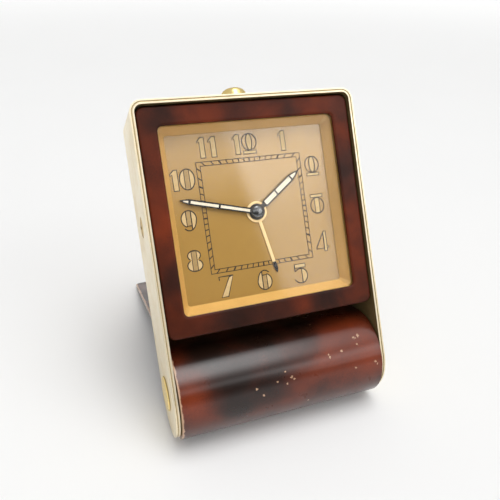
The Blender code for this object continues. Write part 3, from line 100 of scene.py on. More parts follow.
# The band that most values of a noise lie in, and the detail of a fine one
NOISE_BAND, FINE_DETAIL = (0.3, 0.7), 4.0
# The noise that frays a spot, and the shares of its radius between which it fades
SPOT_NOISE, SPOT_FADE = 2.1, (0.3, 1.4)


class Body(Enum):
    """The moving bodies that new pieces ride on."""

    CLOCK = "clock"
    COVER = "cover"
    MINUTE = "minute"
    HOUR = "hour"
    ALARM = "alarm"
    HAND_SETTING = "hand_setting"
    ALARM_SETTING = "alarm_setting"
    WINDING = "winding"
    ALARM_WINDING = "alarm_winding"
    BARREL = "barrel"
    ALARM_DRUM = "alarm_drum"
    BALANCE = "balance"
    BUTTON = "button"


class Slot(Enum):
    """The record's material slots."""

    GILT = "gilt_brass"
    BRASS = "brass"
    STEEL = "steel"
    LACQUER = "tortoise_lacquer"
    DIAL = "champagne_dial"
    BLACK = "black_lacquer"
    GLASS = "glass"


def dial_place(level: float, turn: float = 0.0) -> Matrix:
    """Place of a piece that is drawn flat on the dial, x right, y up and z towards the viewer.

    Args:
        level: distance along the clock's depth in mm, negative in front.
        turn: clockwise turn round the dial's centre in degrees.

    Returns:
        The matrix from the drawing in mm to the frame in metres.
    """
    spot = Matrix.Translation((0.0, level, DIAL_RISE))
    return CLOCK_AXES @ spot @ Matrix.Rotation(math.radians(turn), 4, "Y") @ Matrix.Rotation(math.pi / 2, 4, "X")


class Sheet:
    """Draws nodes into one node tree."""

    def __init__(self, tree: bpy.types.NodeTree) -> None:
        """Keeps the tree to draw in."""
        self.tree = tree

    def wire(self, node: bpy.types.Node, inputs: dict[Any, Any]) -> bpy.types.Node:
        """Fills a node's sockets.

        Args:
            node: the node.
            inputs: sockets by name or number, each with a value or a socket to link from.

        Returns:
            The same node.
        """
        for key, value in inputs.items():
            if isinstance(value, bpy.types.NodeSocket):
                self.tree.links.new(value, node.inputs[key])
            else:
                node.inputs[key].default_value = value
        return node

    def add(self, kind: str, inputs: dict[Any, Any] | None = None, **settings: Any) -> bpy.types.Node:
        """Adds one node.

        Args:
            kind: the node's type without its ShaderNode prefix.
            inputs: what its sockets are filled with.
            settings: the node's own properties.

        Returns:
            The new node.
        """
        node = self.tree.nodes.new("ShaderNode" + kind)
        for key, value in settings.items():
            setattr(node, key, value)
        return self.wire(node, inputs or {})

    def clock_axes(self) -> Any:
        """Turns object coordinates into the clock's own axes, in mm.

        Returns:
            The socket with the coordinates.
        """
        return self.add("Mapping", {
            "Vector": self.add("TexCoord").outputs["Object"],
            "Location": Matrix.Rotation(LEAN, 3, "X") @ HINGE / -MM,
            "Rotation": (LEAN, 0.0, 0.0),
            "Scale": (1 / MM,) * 3,
        }).outputs[0]

    def mask(self, effect: Effect, vector: Any, **inputs: Any) -> Any:
        """Places a shared effect with its own values and gives its mask."""
        return self.add("Group", {"Vector": vector, **inputs}, node_tree=effect.tree()).outputs["Mask"]

    def smudge(self, vector: Any, scale: float) -> Any:
        """Handling smudges at one scale."""
        return self.mask(Effect.SMUDGE, vector, Scale=(scale,) * 3)

    def vary(self, noise: Any, low: float, high: float) -> Any:
        """Spreads the usual band of a noise over a range of values."""
        return self.spread(noise, *NOISE_BAND, low, high)

    def spread(self, value: Any, low: float, high: float, to_low: float = 0.0, to_high: float = 1.0) -> Any:
        """Maps a value's band smoothly onto another, clamped at both ends."""
        inputs = {"Value": value, "From Min": low, "From Max": high, "To Min": to_low, "To Max": to_high}
        return self.add("MapRange", inputs, interpolation_type="SMOOTHSTEP").outputs[0]

    def maths(self, operation: str, first: Any, second: Any = 0.0, third: Any = 0.0) -> Any:
        """One arithmetic step on two or three values."""
        return self.add("Math", {0: first, 1: second, 2: third}, operation=operation).outputs[0]

    def vectors(self, operation: str, first: Any, second: Any, output: int = 0) -> Any:
        """One arithmetic step on two vectors."""
        return self.add("VectorMath", {0: first, 1: second}, operation=operation).outputs[output]

    def blend(self, share: Any, low: Any, high: Any) -> Any:
        """Mixes two colours by a share from 0 to 1."""
        ends = [(*c, 1.0) if isinstance(c, tuple) else c for c in (low, high)]
        return self.add("Mix", {0: share, 6: ends[0], 7: ends[1]}, data_type="RGBA").outputs[2]

    def noise(self, vector: Any, scale: float, detail: float = 3.0, distortion: float = 0.0) -> Any:
        """Cloudy noise on a vector."""
        inputs = {"Vector": vector, "Scale": scale, "Detail": detail, "Distortion": distortion}
        return self.add("TexNoise", inputs).outputs["Fac"]

    def bump(self, height: Any, strength: float, distance: float) -> Any:
        """A surface normal raised by a height."""
        return self.add("Bump", {"Height": height, "Strength": strength, "Distance": distance}).outputs[0]


class Effect(Enum):
    """Shared node groups, each built once."""

    SMUDGE = "handling_smudge"
    GRAIN = "drawn_grain"
    CLOUDS = "tortoise_clouds"
    # A soft round spot, used for worn chips, lacquer clouds and painted shade.
    SPOT = "worn_spot"

    def tree(self) -> bpy.types.NodeTree:
        """The effect's node group."""
        return bpy.data.node_groups.get(self.value) or self._build()

    def _build(self) -> bpy.types.NodeTree:
        """Draws the node group with its named sockets.

        Returns:
            The new node group.
        """
        tree = bpy.data.node_groups.new(self.value, "ShaderNodeTree")
        layers = LAYERS.get(self, ())
        own = {"Scale": "Vector"} if layers else {"Centre": "Vector", "Radius": "Float", "Ragged": "Float"}
        for name, kind in {"Vector": "Vector", **own}.items():
            tree.interface.new_socket(name=name, in_out="INPUT", socket_type="NodeSocket" + kind)
        tree.interface.new_socket(name="Mask", in_out="OUTPUT", socket_type="NodeSocketFloat")
        sheet = Sheet(tree)
        given, end = tree.nodes.new("NodeGroupInput").outputs, tree.nodes.new("NodeGroupOutput")
        mask: Any = 0.0
        for layer in layers:
            scaled = sheet.vectors("MULTIPLY", given["Vector"], given["Scale"])
            noise = sheet.noise(scaled, layer.scale, layer.detail, layer.distortion)
            mask = sheet.maths("MULTIPLY_ADD", noise, layer.share, mask)
        if self is Effect.SPOT:
            ragged = sheet.maths("MULTIPLY", sheet.noise(given["Vector"], SPOT_NOISE, FINE_DETAIL), given["Ragged"])
            gap = sheet.vectors("DISTANCE", given["Vector"], given["Centre"], 1)
            share = sheet.maths("DIVIDE", sheet.maths("ADD", gap, ragged), given["Radius"])
            mask = sheet.spread(share, *SPOT_FADE, 1.0, 0.0)
        sheet.wire(end, {"Mask": mask})
        return tree


@dataclass(frozen=True)
class Layer:
    """One layer of cloudy noise in a shared effect, and its share of the mask."""

    scale: float
    detail: float
    distortion: float
    share: float


LAYERS = {
    Effect.SMUDGE: (Layer(1.0, 5.0, 0.6, 0.75), Layer(7.0, 3.0, 0.0, 0.25)),
    Effect.GRAIN: (Layer(1.0, 2.0, 0.0, 0.5), Layer(3.7, 2.0, 0.0, 0.5)),
    Effect.CLOUDS: (Layer(1.0, 2.5, 0.9, 0.8), Layer(4.5, 3.0, 0.4, 0.2)),
}


@dataclass(frozen=True)
class Finish:
    """A surface finish that becomes one node material."""

    name: str

    def material(self) -> bpy.types.Material:
        """Draws the finish's material the first time it is asked for.

        Returns:
            The material.
        """
        found = bpy.data.materials.get(self.name)
        if found:
            return found
        material = bpy.data.materials.new(self.name)
        material.use_nodes = True
        sheet, nodes = Sheet(material.node_tree), material.node_tree.nodes
        shader = sheet.wire(nodes["Principled BSDF"], self.draw(sheet))
        sheet.wire(nodes["Material Output"], {"Surface": self.last_touch(sheet, shader).outputs[0]})
        return material

    def draw(self, sheet: Sheet) -> dict[str, Any]:
        """The shader's sockets with their values or links."""
        return {}

    def last_touch(self, sheet: Sheet, shader: bpy.types.Node) -> bpy.types.Node:
        """The node that ends the material, the shader itself for most finishes."""
        return shader


@dataclass(frozen=True)
class Metal(Finish):
    """Bright metal with drawn grain, handling smudges and a little tarnish."""

    tint: Colour
    tarnish: Colour
    roughness: float = 0.3
    grain: Triple = (0.3, 0.3, 14.0)
    tarnish_share: float = 0.5
    tarnish_band: Band = (0.4, 0.72)
    streak_share: float = 0.22
    smudge: float = 0.09
    smudge_roughness: Band = (-0.06, 0.1)
    grain_roughness: float = 0.06
    metallic: float = 1.0
    relief: float = 0.12
    relief_depth: float = 0.00004
    lacquer: float = 0.0
    lacquer_roughness: float = 0.07
    lacquer_ior: float = 1.62

    def draw(self, sheet: Sheet) -> dict[str, Any]:
        """Draws tint, tarnish and roughness from smudge and grain, under clear lacquer where there is some.

        Args:
            sheet: the material's nodes.

        Returns:
            Values and links for the shader's sockets.
        """
        vector = sheet.clock_axes()
        smudge = sheet.smudge(vector, self.smudge)
        grain = sheet.mask(Effect.GRAIN, vector, Scale=self.grain)
        aged = sheet.spread(smudge, *self.tarnish_band, 0.0, self.tarnish_share)
        aged = sheet.blend(aged, self.tint, self.tarnish)
        rough = sheet.maths("ADD", sheet.vary(smudge, *self.smudge_roughness),
                            sheet.vary(grain, 0.0, self.grain_roughness))
        return {
            "Base Color": sheet.blend(sheet.vary(grain, 0.0, self.streak_share), aged, self.tarnish),
            "Metallic": self.metallic,
            "Roughness": sheet.maths("ADD", rough, self.roughness),
            "Normal": sheet.bump(grain, self.relief, self.relief_depth),
            "Coat Weight": self.lacquer,
            "Coat Roughness": self.lacquer_roughness,
            "Coat IOR": self.lacquer_ior,
        }


@dataclass(frozen=True)
class Patch:
    """A soft patch or a chip at a place in the clock's axes, in mm."""

    centre: Triple
    radius: float
    weight: float = 1.0

    def mask(self, sheet: Sheet, vector: Any, ragged: float) -> Any:
        """Where the patch covers, with its edge ragged by a share of its radius."""
        inputs = {"Centre": self.centre, "Radius": self.radius, "Ragged": self.radius * ragged}
        return sheet.mask(Effect.SPOT, vector, **inputs)


@dataclass(frozen=True)
class Tortoise(Finish):
    """Lacquer clouded like tortoiseshell, with patches that shift the clouds, some of them painted shade, chips
    through to the metal and rubbed edges.
    """

    patches: tuple[Patch, ...] = ()
    patch_ragged: float = 0.5
    chips: tuple[Patch, ...] = ()
    chip_ragged: float = 1.2
    chip_band: Band = (0.4, 0.6)
    rubbed_from: float = 99.0
    rubbed_band: Band = (0.4, 0.75)
    rubbed_ragged: float = 1.1
    rubbed_scale: float = 0.55
    swing: float = 0.6
    cloud: Triple = (0.06, 0.06, 0.06)
    shift: Triple = (0.0, 0.0, 0.0)
    dark: Colour = (0.012, 0.005, 0.003)
    brown: Colour = (0.05, 0.011, 0.005)
    brown_band: Band = (0.24, 0.56)
    red: Colour = (0.2, 0.03, 0.0065)
    red_band: Band = (0.4, 0.86)
    fleck_scale: float = 1.4
    fleck_band: Band = (0.62, 0.78)
    fleck_share: float = 0.2
    bare: Colour = (0.52, 0.32, 0.2)
    roughness: float = 0.36
    coat: float = 0.0
    coat_roughness: float = 0.17
    gloss: float = 0.16
    smudge: float = 0.12
    smudge_roughness: Band = (-0.06, 0.1)
    smudge_relief: float = 0.3
    relief: float = 0.2
    relief_depth: float = 0.00005

    def draw(self, sheet: Sheet) -> dict[str, Any]:
        """Draws the clouded colour, shifted by patches, some of them painted shade, with chips and rubbed rims over
        it.

        Args:
            sheet: the material's nodes.

        Returns:
            Values and links for the shader's sockets.
        """
        vector = sheet.clock_axes()
        clouds = sheet.mask(Effect.CLOUDS, sheet.vectors("ADD", vector, self.shift), Scale=self.cloud)
        clouds = sheet.maths("MULTIPLY_ADD", clouds, self.swing, 0.5 - self.swing / 2)
        # Patches lift or lower the clouds; where they darken a shaded place, such as the roll's top, they are
        # painted shade.
        for patch in self.patches:
            spot = patch.mask(sheet, vector, self.patch_ragged)
            clouds = sheet.maths("MULTIPLY_ADD", spot, patch.weight, clouds)
        deep = sheet.blend(sheet.spread(clouds, *self.brown_band), self.dark, self.brown)
        colour = sheet.blend(sheet.spread(clouds, *self.red_band), deep, self.red)
        flecks = sheet.noise(vector, self.fleck_scale, FINE_DETAIL)
        flecks = sheet.spread(flecks, *self.fleck_band, 0.0, self.fleck_share)
        across = sheet.maths("MULTIPLY", sheet.add("SeparateXYZ", {0: vector}).outputs[0], -1.0)
        frayed = sheet.noise(vector, self.rubbed_scale, FINE_DETAIL)
        ragged = sheet.maths("MULTIPLY_ADD", frayed, self.rubbed_ragged, across)
        bare = sheet.spread(ragged, *(self.rubbed_from + edge for edge in self.rubbed_band))
        for chip in self.chips:
            flake = sheet.spread(chip.mask(sheet, vector, self.chip_ragged), *self.chip_band)
            bare = sheet.maths("MAXIMUM", bare, flake)
        smudge = sheet.smudge(vector, self.smudge)
        height = sheet.maths("SUBTRACT", sheet.maths("MULTIPLY", smudge, self.smudge_relief), bare)
        return {
            "Base Color": sheet.blend(bare, sheet.blend(flecks, colour, self.dark), self.bare),
            "Roughness": sheet.vary(smudge, *(self.roughness + more for more in self.smudge_roughness)),
            "Specular IOR Level": self.gloss,
            "Coat Weight": self.coat,
            "Coat Roughness": self.coat_roughness,
            "Normal": sheet.bump(height, self.relief, self.relief_depth),
        }


@dataclass(frozen=True)
class Paint(Finish):
    """Flat paint or ink with a faint cloud in it."""

    tint: Colour
    second: Colour
    roughness: float = 0.45
    scale: float = 0.8
    cloud_band: Band = (0.35, 0.7)
    cloud_roughness: float = 0.06
    relief: float = 0.1
    relief_depth: float = 0.00002

    def draw(self, sheet: Sheet) -> dict[str, Any]:
        """Mixes two close tints by fine clouds.

        Args:
            sheet: the material's nodes.

        Returns:
            Values and links for the shader's sockets.
        """
        cloud, more = sheet.smudge(sheet.clock_axes(), self.scale), self.cloud_roughness
        return {
            "Base Color": sheet.blend(sheet.spread(cloud, *self.cloud_band), self.tint, self.second),
            "Roughness": sheet.vary(cloud, self.roughness - more, self.roughness + more),
            "Normal": sheet.bump(cloud, self.relief, self.relief_depth),
        }


@dataclass(frozen=True)
class Crystal(Finish):
    """Clear flat glass that lets the lamps through."""

    tint: Colour = (1.0, 0.995, 0.985)
    ior: float = 1.25
    smudge: float = 0.08
    smudge_band: Band = (0.45, 0.8)
    smudge_roughness: float = 0.03

    def draw(self, sheet: Sheet) -> dict[str, Any]:
        """Draws clear glass with a trace of handling on its surface.

        Args:
            sheet: the material's nodes.

        Returns:
            Values and links for the shader's sockets.
        """
        smudge = sheet.smudge(sheet.clock_axes(), self.smudge)
        return {
            "Base Color": (*self.tint, 1.0),
            "Roughness": sheet.spread(smudge, *self.smudge_band, 0.0, self.smudge_roughness),
            "Transmission Weight": 1.0,
            "IOR": self.ior,
        }

    def last_touch(self, sheet: Sheet, shader: bpy.types.Node) -> bpy.types.Node:
        """Lets shadow rays pass straight through."""
        shadow, clear = sheet.add("LightPath").outputs["Is Shadow Ray"], sheet.add("BsdfTransparent")
        return sheet.add("MixShader", {0: shadow, 1: shader.outputs[0], 2: clear.outputs[0]})


@dataclass(frozen=True)
class PaleFloor(Finish):
    """A pale floor that stays pale where it is looked at, with the shadow that falls on it; sizes in metres."""

    tint: Colour
    near: float
    far: float
    camera_fade: Band = (0.4, 2.4)
    mirror_fade: Band = (0.12, 0.45)
    cloud_scale: float = 9.0
    cloud_lift: float = 0.012
    roughness: Band = (0.66, 0.74)

    def draw(self, sheet: Sheet) -> dict[str, Any]:
        """Draws a faintly clouded pale colour.

        Args:
            sheet: the material's nodes.

        Returns:
            Values and links for the shader's sockets.
        """
        cloud = sheet.smudge(sheet.add("TexCoord").outputs["Object"], self.cloud_scale)
        paler = tuple(min(1.0, c + self.cloud_lift) for c in self.tint)
        return {"Base Color": sheet.blend(cloud, self.tint, paler), "Roughness": sheet.vary(cloud, *self.roughness)}

    def last_touch(self, sheet: Sheet, shader: bpy.types.Node) -> bpy.types.Node:
        """Lifts the floor for the camera and, away from the clock, for mirrors and glass.

        Args:
            sheet: the material's nodes.
            shader: the floor's own shader.

        Returns:
            The node that ends the material.
        """
        gap = sheet.vectors("LENGTH", sheet.add("TexCoord").outputs["Object"], (0.0, 0.0, 0.0), 1)
        ray = sheet.add("LightPath").outputs
        mirrored = sheet.maths("MAXIMUM", ray["Is Glossy Ray"], ray["Is Transmission Ray"])
        far_lift = sheet.maths("MULTIPLY", mirrored, sheet.spread(gap, *self.mirror_fade, 0.0, self.far))
        near_lift = sheet.spread(gap, *self.camera_fade, self.near, self.far)
        lift = sheet.maths("MULTIPLY_ADD", ray["Is Camera Ray"], near_lift, far_lift)
        glow = sheet.add("Emission", {"Strength": lift})
        return sheet.add("AddShader", {0: shader.outputs[0], 1: glow.outputs[0]})


GILT = Metal("gilt_strap", tint=(0.94, 0.84, 0.63), tarnish=(0.78, 0.63, 0.38), roughness=0.34, metallic=0.68)
GILT_GROOVE = Metal("gilt_groove", tint=(0.6, 0.45, 0.22), tarnish=(0.42, 0.3, 0.13), roughness=0.46, metallic=0.7)
# Painted shade: the strap's faces that look inwards are drawn in dark gilt, for the shade inside the strap.
GILT_INSIDE_SHADE = Metal("gilt_painted_shade", tint=(0.27, 0.19, 0.075), tarnish=(0.14, 0.095, 0.036), roughness=0.5,
                    metallic=0.4)
GILT_DOME = Metal("gilt_dome", tint=(0.98, 0.77, 0.32), tarnish=(0.88, 0.62, 0.21), roughness=0.26, metallic=0.75)
GILT_WARM = Metal("gilt_warm", tint=(0.71, 0.43, 0.125), tarnish=(0.62, 0.36, 0.1), roughness=0.38, metallic=0.3,
                  grain=(0.4, 0.4, 0.4))
BRASS = Metal("polished_brass", tint=(0.8, 0.58, 0.2), tarnish=(0.55, 0.36, 0.1), roughness=0.26)
PLATE_BRASS = Metal("plate_brass", tint=(0.72, 0.52, 0.22), tarnish=(0.5, 0.34, 0.12), roughness=0.34,
                    grain=(0.5, 0.5, 9.0))
STEEL = Metal("arbor_steel", tint=(0.6, 0.6, 0.6), tarnish=(0.4, 0.39, 0.37), roughness=0.28, grain=(8.0, 0.5, 8.0))
SPRING_STEEL = Metal("spring_steel", tint=(0.34, 0.37, 0.42), tarnish=(0.2, 0.22, 0.27), roughness=0.3)
# Painted shade: the case is drawn near black, for the shaded gap under the bezel.
CASE_SHADE = Metal("case_painted_shade", tint=(0.1, 0.07, 0.04), tarnish=(0.03, 0.02, 0.012), roughness=0.5,
                  metallic=0.6)
CHAMPAGNE = Metal("satin_dial", tint=(0.41, 0.237, 0.05), tarnish=(0.36, 0.202, 0.041), roughness=0.38,
                  grain=(26.0, 26.0, 0.6), tarnish_share=0.35, smudge=0.05, metallic=0.4, relief=0.08, lacquer=1.0)
INK = Paint("figure_ink", tint=(0.02, 0.01, 0.004), second=(0.045, 0.022, 0.008))
BAR_INK = Paint("bar_tint", tint=(0.42, 0.28, 0.11), second=(0.34, 0.22, 0.085))
MARK_INK = Paint("mark_ink", tint=(0.02, 0.011, 0.005), second=(0.05, 0.026, 0.01))
LUME = Paint("aged_lume", tint=(0.58, 0.41, 0.18), second=(0.65, 0.49, 0.25), roughness=0.6)
HAND_GOLD = Metal("hand_gold", tint=(0.93, 0.7, 0.36), tarnish=(0.82, 0.55, 0.24), roughness=0.28, metallic=0.6)
HAND_LUME = Paint("hand_lume", tint=(0.84, 0.75, 0.57), second=(0.9, 0.83, 0.68), roughness=0.6)
HAND_BLACK = Paint("hand_black", tint=(0.008, 0.007, 0.006), second=(0.02, 0.017, 0.014), roughness=0.28)
HOUR_DARK = Metal("hour_dark", tint=(0.05, 0.042, 0.032), tarnish=(0.025, 0.021, 0.017), roughness=0.36,
                  metallic=0.3)
HUB_BLACK = Metal("hub_black", tint=(0.17, 0.175, 0.18), tarnish=(0.13, 0.13, 0.13), roughness=0.09, relief=0.02)
GLASS = Crystal("flat_glass")
FLOOR = PaleFloor("pale_floor", tint=(0.82, 0.82, 0.815), near=0.02, far=0.16)


class Pick(Enum):
    """What a selection in edit mode is made of."""

    FACES = "FACE"
    EDGES = "EDGE"


@dataclass
class SubAssembly:
    """The modelling steps that all sub-assemblies share; pieces are worked in the clock's axes in mm."""

    frame: dict[str, Any]

    def build(self) -> None:
        """Builds the sub-assembly's pieces."""

    def joint(self, name: str) -> dict[str, Any]:
        """One of the frame's joints."""
        return next(joint for joint in self.frame["joints"] if joint["name"] == name)

    @staticmethod
    def take(*objs: Piece) -> None:
        """Leaves edit mode, deselects everything and selects these pieces.

        Args:
            objs: the pieces, of which the last is made active.
        """
        active = bpy.context.view_layer.objects.active
        if active and active.mode != "OBJECT":
            bpy.ops.object.mode_set(mode="OBJECT")
        bpy.ops.object.select_all(action="DESELECT")
        for obj in objs:
            obj.select_set(True)
            bpy.context.view_layer.objects.active = obj

    def edit(self, obj: Piece) -> None:
        """Opens a piece in edit mode with all of it selected.

        Args:
            obj: the piece.
        """
        self.take(obj)
        bpy.ops.object.mode_set(mode="EDIT")
        bpy.ops.mesh.select_all(action="SELECT")

    def pick(self, obj: Piece, kind: Pick, rule: Callable[[Any], bool]) -> None:
        """Opens a piece in edit mode with only some of it selected.

        Args:
            obj: the piece.
            kind: what is selected.
            rule: tells whether one face or edge is.
        """
        self.edit(obj)
        bpy.ops.mesh.select_mode(type=kind.value)
        bpy.ops.mesh.select_all(action="DESELECT")
        bpy.ops.object.mode_set(mode="OBJECT")
        for part in obj.data.edges if kind is Pick.EDGES else obj.data.polygons:
            part.select = rule(part)
        bpy.ops.object.mode_set(mode="EDIT")

    @staticmethod
    def face_outwards() -> None:
        """Turns all faces of the open mesh outwards."""
        bpy.ops.mesh.select_all(action="SELECT")
        bpy.ops.mesh.normals_make_consistent(inside=False)

    def thicken(self, obj: Piece, thick: float) -> None:
        """Extrudes a flat piece upwards.

        Args:
            obj: the piece.
            thick: its thickness in mm.
        """
        self.edit(obj)
        bpy.ops.mesh.extrude_region_move(TRANSFORM_OT_translate={"value": (0, 0, thick)})
        self.face_outwards()

    @staticmethod
    def coat(obj: Piece, *finishes: Finish) -> None:
        """Gives a piece its finishes in place of any that it has.

        Args:
            obj: the piece.
            finishes: the finishes, of which the first goes all over.
        """
        obj.data.materials.clear()
        for finish in finishes:
            obj.data.materials.append(finish.material())

    @staticmethod
    def paint(obj: Piece, number: int) -> None:
        """Gives the selected faces another of the piece's finishes."""
        obj.active_material_index = number
        bpy.ops.object.material_slot_assign()

    def copy_node(self, node: str, name: str) -> Piece:
        """Copies a CAD node into a merged mesh with its flat faces whole.

        Args:
            node: the CAD node's name.
            name: the new piece's name.

        Returns:
            The new piece.
        """
        mesh = self.frame["nodes"][node].data.copy()
        mesh.materials.clear()
        obj = bpy.data.objects.new(name, mesh)
        bpy.context.scene.collection.objects.link(obj)
        mesh.transform(CLOCK_AXES.inverted())
        self.edit(obj)
        bpy.ops.mesh.remove_doubles(threshold=MERGE_GAP)
        bpy.ops.mesh.dissolve_limited(angle_limit=FLAT_ANGLE)
        self.take(obj)
        bpy.ops.mesh.customdata_custom_splitnormals_clear()
        return obj

    def soften(self, obj: Piece, width: float) -> None:
        """Rounds a piece's edges and shades it smooth between them.

        Args:
            obj: the piece.
            width: the rounding's width in mm, none at 0.
        """
        self.take(obj)
        if width > 0:
            bevel = obj.modifiers.new("softened", "BEVEL")
            bevel.width, bevel.segments = width, 2
            bevel.limit_method, bevel.angle_limit = "ANGLE", EDGE_ANGLE
            bpy.ops.object.modifier_apply(modifier=bevel.name)
        bpy.ops.object.shade_smooth_by_angle(angle=SMOOTH_ANGLE)
        even = obj.modifiers.new("even_shading", "WEIGHTED_NORMAL")
        even.mode, even.weight, even.keep_sharp = "FACE_AREA", 100, True
        bpy.ops.object.modifier_apply(modifier=even.name)

    def turned(self, name: str, profile: Sequence[Point], closed: bool = False, steps: int = 72) -> Piece:
        """Turns a profile of radius and height round z, as on a lathe.

        Args:
            name: the new piece's name.
            profile: points of radius and height in mm.
            closed: True for a ring, whose profile doesn't meet the axis.
            steps: faces round the turn.

        Returns:
            The new piece.
        """
        self.take()
        bpy.ops.mesh.primitive_circle_add(vertices=len(profile), radius=1.0)
        obj = bpy.context.object
        obj.name = name
        for vertex, (radius, height) in zip(obj.data.vertices, profile):
            vertex.co = (radius, 0.0, height)
        self.edit(obj)
        if not closed:
            self.pick(obj, Pick.EDGES, lambda edge: set(edge.vertices) == {0, len(profile) - 1})
            bpy.ops.mesh.delete(type="EDGE_FACE")
            bpy.ops.mesh.select_all(action="SELECT")
        bpy.ops.mesh.spin(steps=steps, angle=math.tau, center=(0, 0, 0), axis=(0, 0, 1))
        bpy.ops.mesh.select_all(action="SELECT")
        bpy.ops.mesh.remove_doubles(threshold=MERGE_GAP)
        self.face_outwards()
        self.take(obj)
        return obj

    def plate(self, name: str, outline: Sequence[Point], thick: float) -> Piece:
        """Cuts a flat plate to an outline, with its back at z 0.

        Args:
            name: the new piece's name.
            outline: corner points in mm, in order.
            thick: the plate's thickness in mm.

        Returns:
            The new piece.
        """
        self.take()
        bpy.ops.mesh.primitive_circle_add(vertices=len(outline), fill_type="NGON")
        obj = bpy.context.object
        obj.name = name
        for vertex, (x, y) in zip(obj.data.vertices, outline):
            vertex.co = (x, y, 0.0)
        self.thicken(obj, thick)
        self.take(obj)
        return obj

    def line_work(self, name: str, lines: Sequence[Line], width: float) -> Piece:
        """Draws round lines along points and makes them a mesh.

        Args:
            name: the new piece's name.
            lines: for each line its points, flat or in space, and whether it closes.
            width: the lines' width in mm.

        Returns:
            The new piece.
        """
        self.take()
        curve = bpy.data.curves.new(name, "CURVE")
        curve.dimensions, curve.bevel_depth, curve.bevel_resolution = "3D", width / 2, 2
        curve.use_fill_caps = True
        for points, closes in lines:
            spline = curve.splines.new("POLY")
            spline.points.add(len(points) - 1)
            for spot, point in zip(spline.points, points):
                spot.co = (*point, *([0.0] * (3 - len(point))), 1.0)
            spline.use_cyclic_u = closes
        obj = bpy.data.objects.new(name, curve)
        bpy.context.scene.collection.objects.link(obj)
        self.take(obj)
        bpy.ops.object.convert(target="MESH")
        return bpy.context.object

    def joined(self, name: str, parts: Sequence[Piece]) -> Piece:
        """Joins pieces into one.

        Args:
            name: the joined piece's name.
            parts: what is joined.

        Returns:
            The joined piece.
        """
        self.take(*parts)
        bpy.ops.object.join()
        obj = bpy.context.object
        obj.name = obj.data.name = name
        return obj

    def settle(
        self, obj: Piece, body: Body, slot: Slot, finish: Finish | None = None,
        stands_for: Sequence[str] = (), place: Matrix = CLOCK_AXES,
    ) -> None:
        """Puts a finished piece in its place and lets it ride on its body.

        Args:
            obj: the piece, in mm.
            body: the body that it moves with.
            slot: the record's slot for the piece; not used.
            finish: its finish, unless its faces already have theirs.
            stands_for: the CAD nodes that it replaces.
            place: the matrix from the piece's mm to the frame.
        """
        self.take()
        obj.data.transform(place)
        obj.data.update()
        if finish:
            self.coat(obj, finish)
        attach(obj, body.value)
        if stands_for:
            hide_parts(*stands_for)
        LOG.info("%s on %s: %d faces", obj.name, body.value, len(obj.data.polygons))

    def refine(self, node: str, name: str, body: Body, slot: Slot, finish: Finish, edge: float) -> None:
        """Replaces a CAD node by a copy with rounded edges and a finish.

        Args:
            node: the CAD node's name.
            name: the new piece's name.
            body: the body that it moves with.
            slot: the record's slot for the piece, passed on to settle.
            finish: its finish.
            edge: the width of its rounded edges in mm.
        """
        obj = self.copy_node(node, name)
        self.soften(obj, edge)
        self.settle(obj, body, slot, finish, (node,))

    def dress(self, finish: Finish, *nodes: str) -> None:
        """Gives a finish to CAD nodes that keep their own shape.

        Args:
            finish: the finish.
            nodes: the CAD nodes' names.
        """
        for node in nodes:
            self.coat(self.frame["nodes"][node], finish)
            LOG.info("%s dressed in %s", node, finish.name)


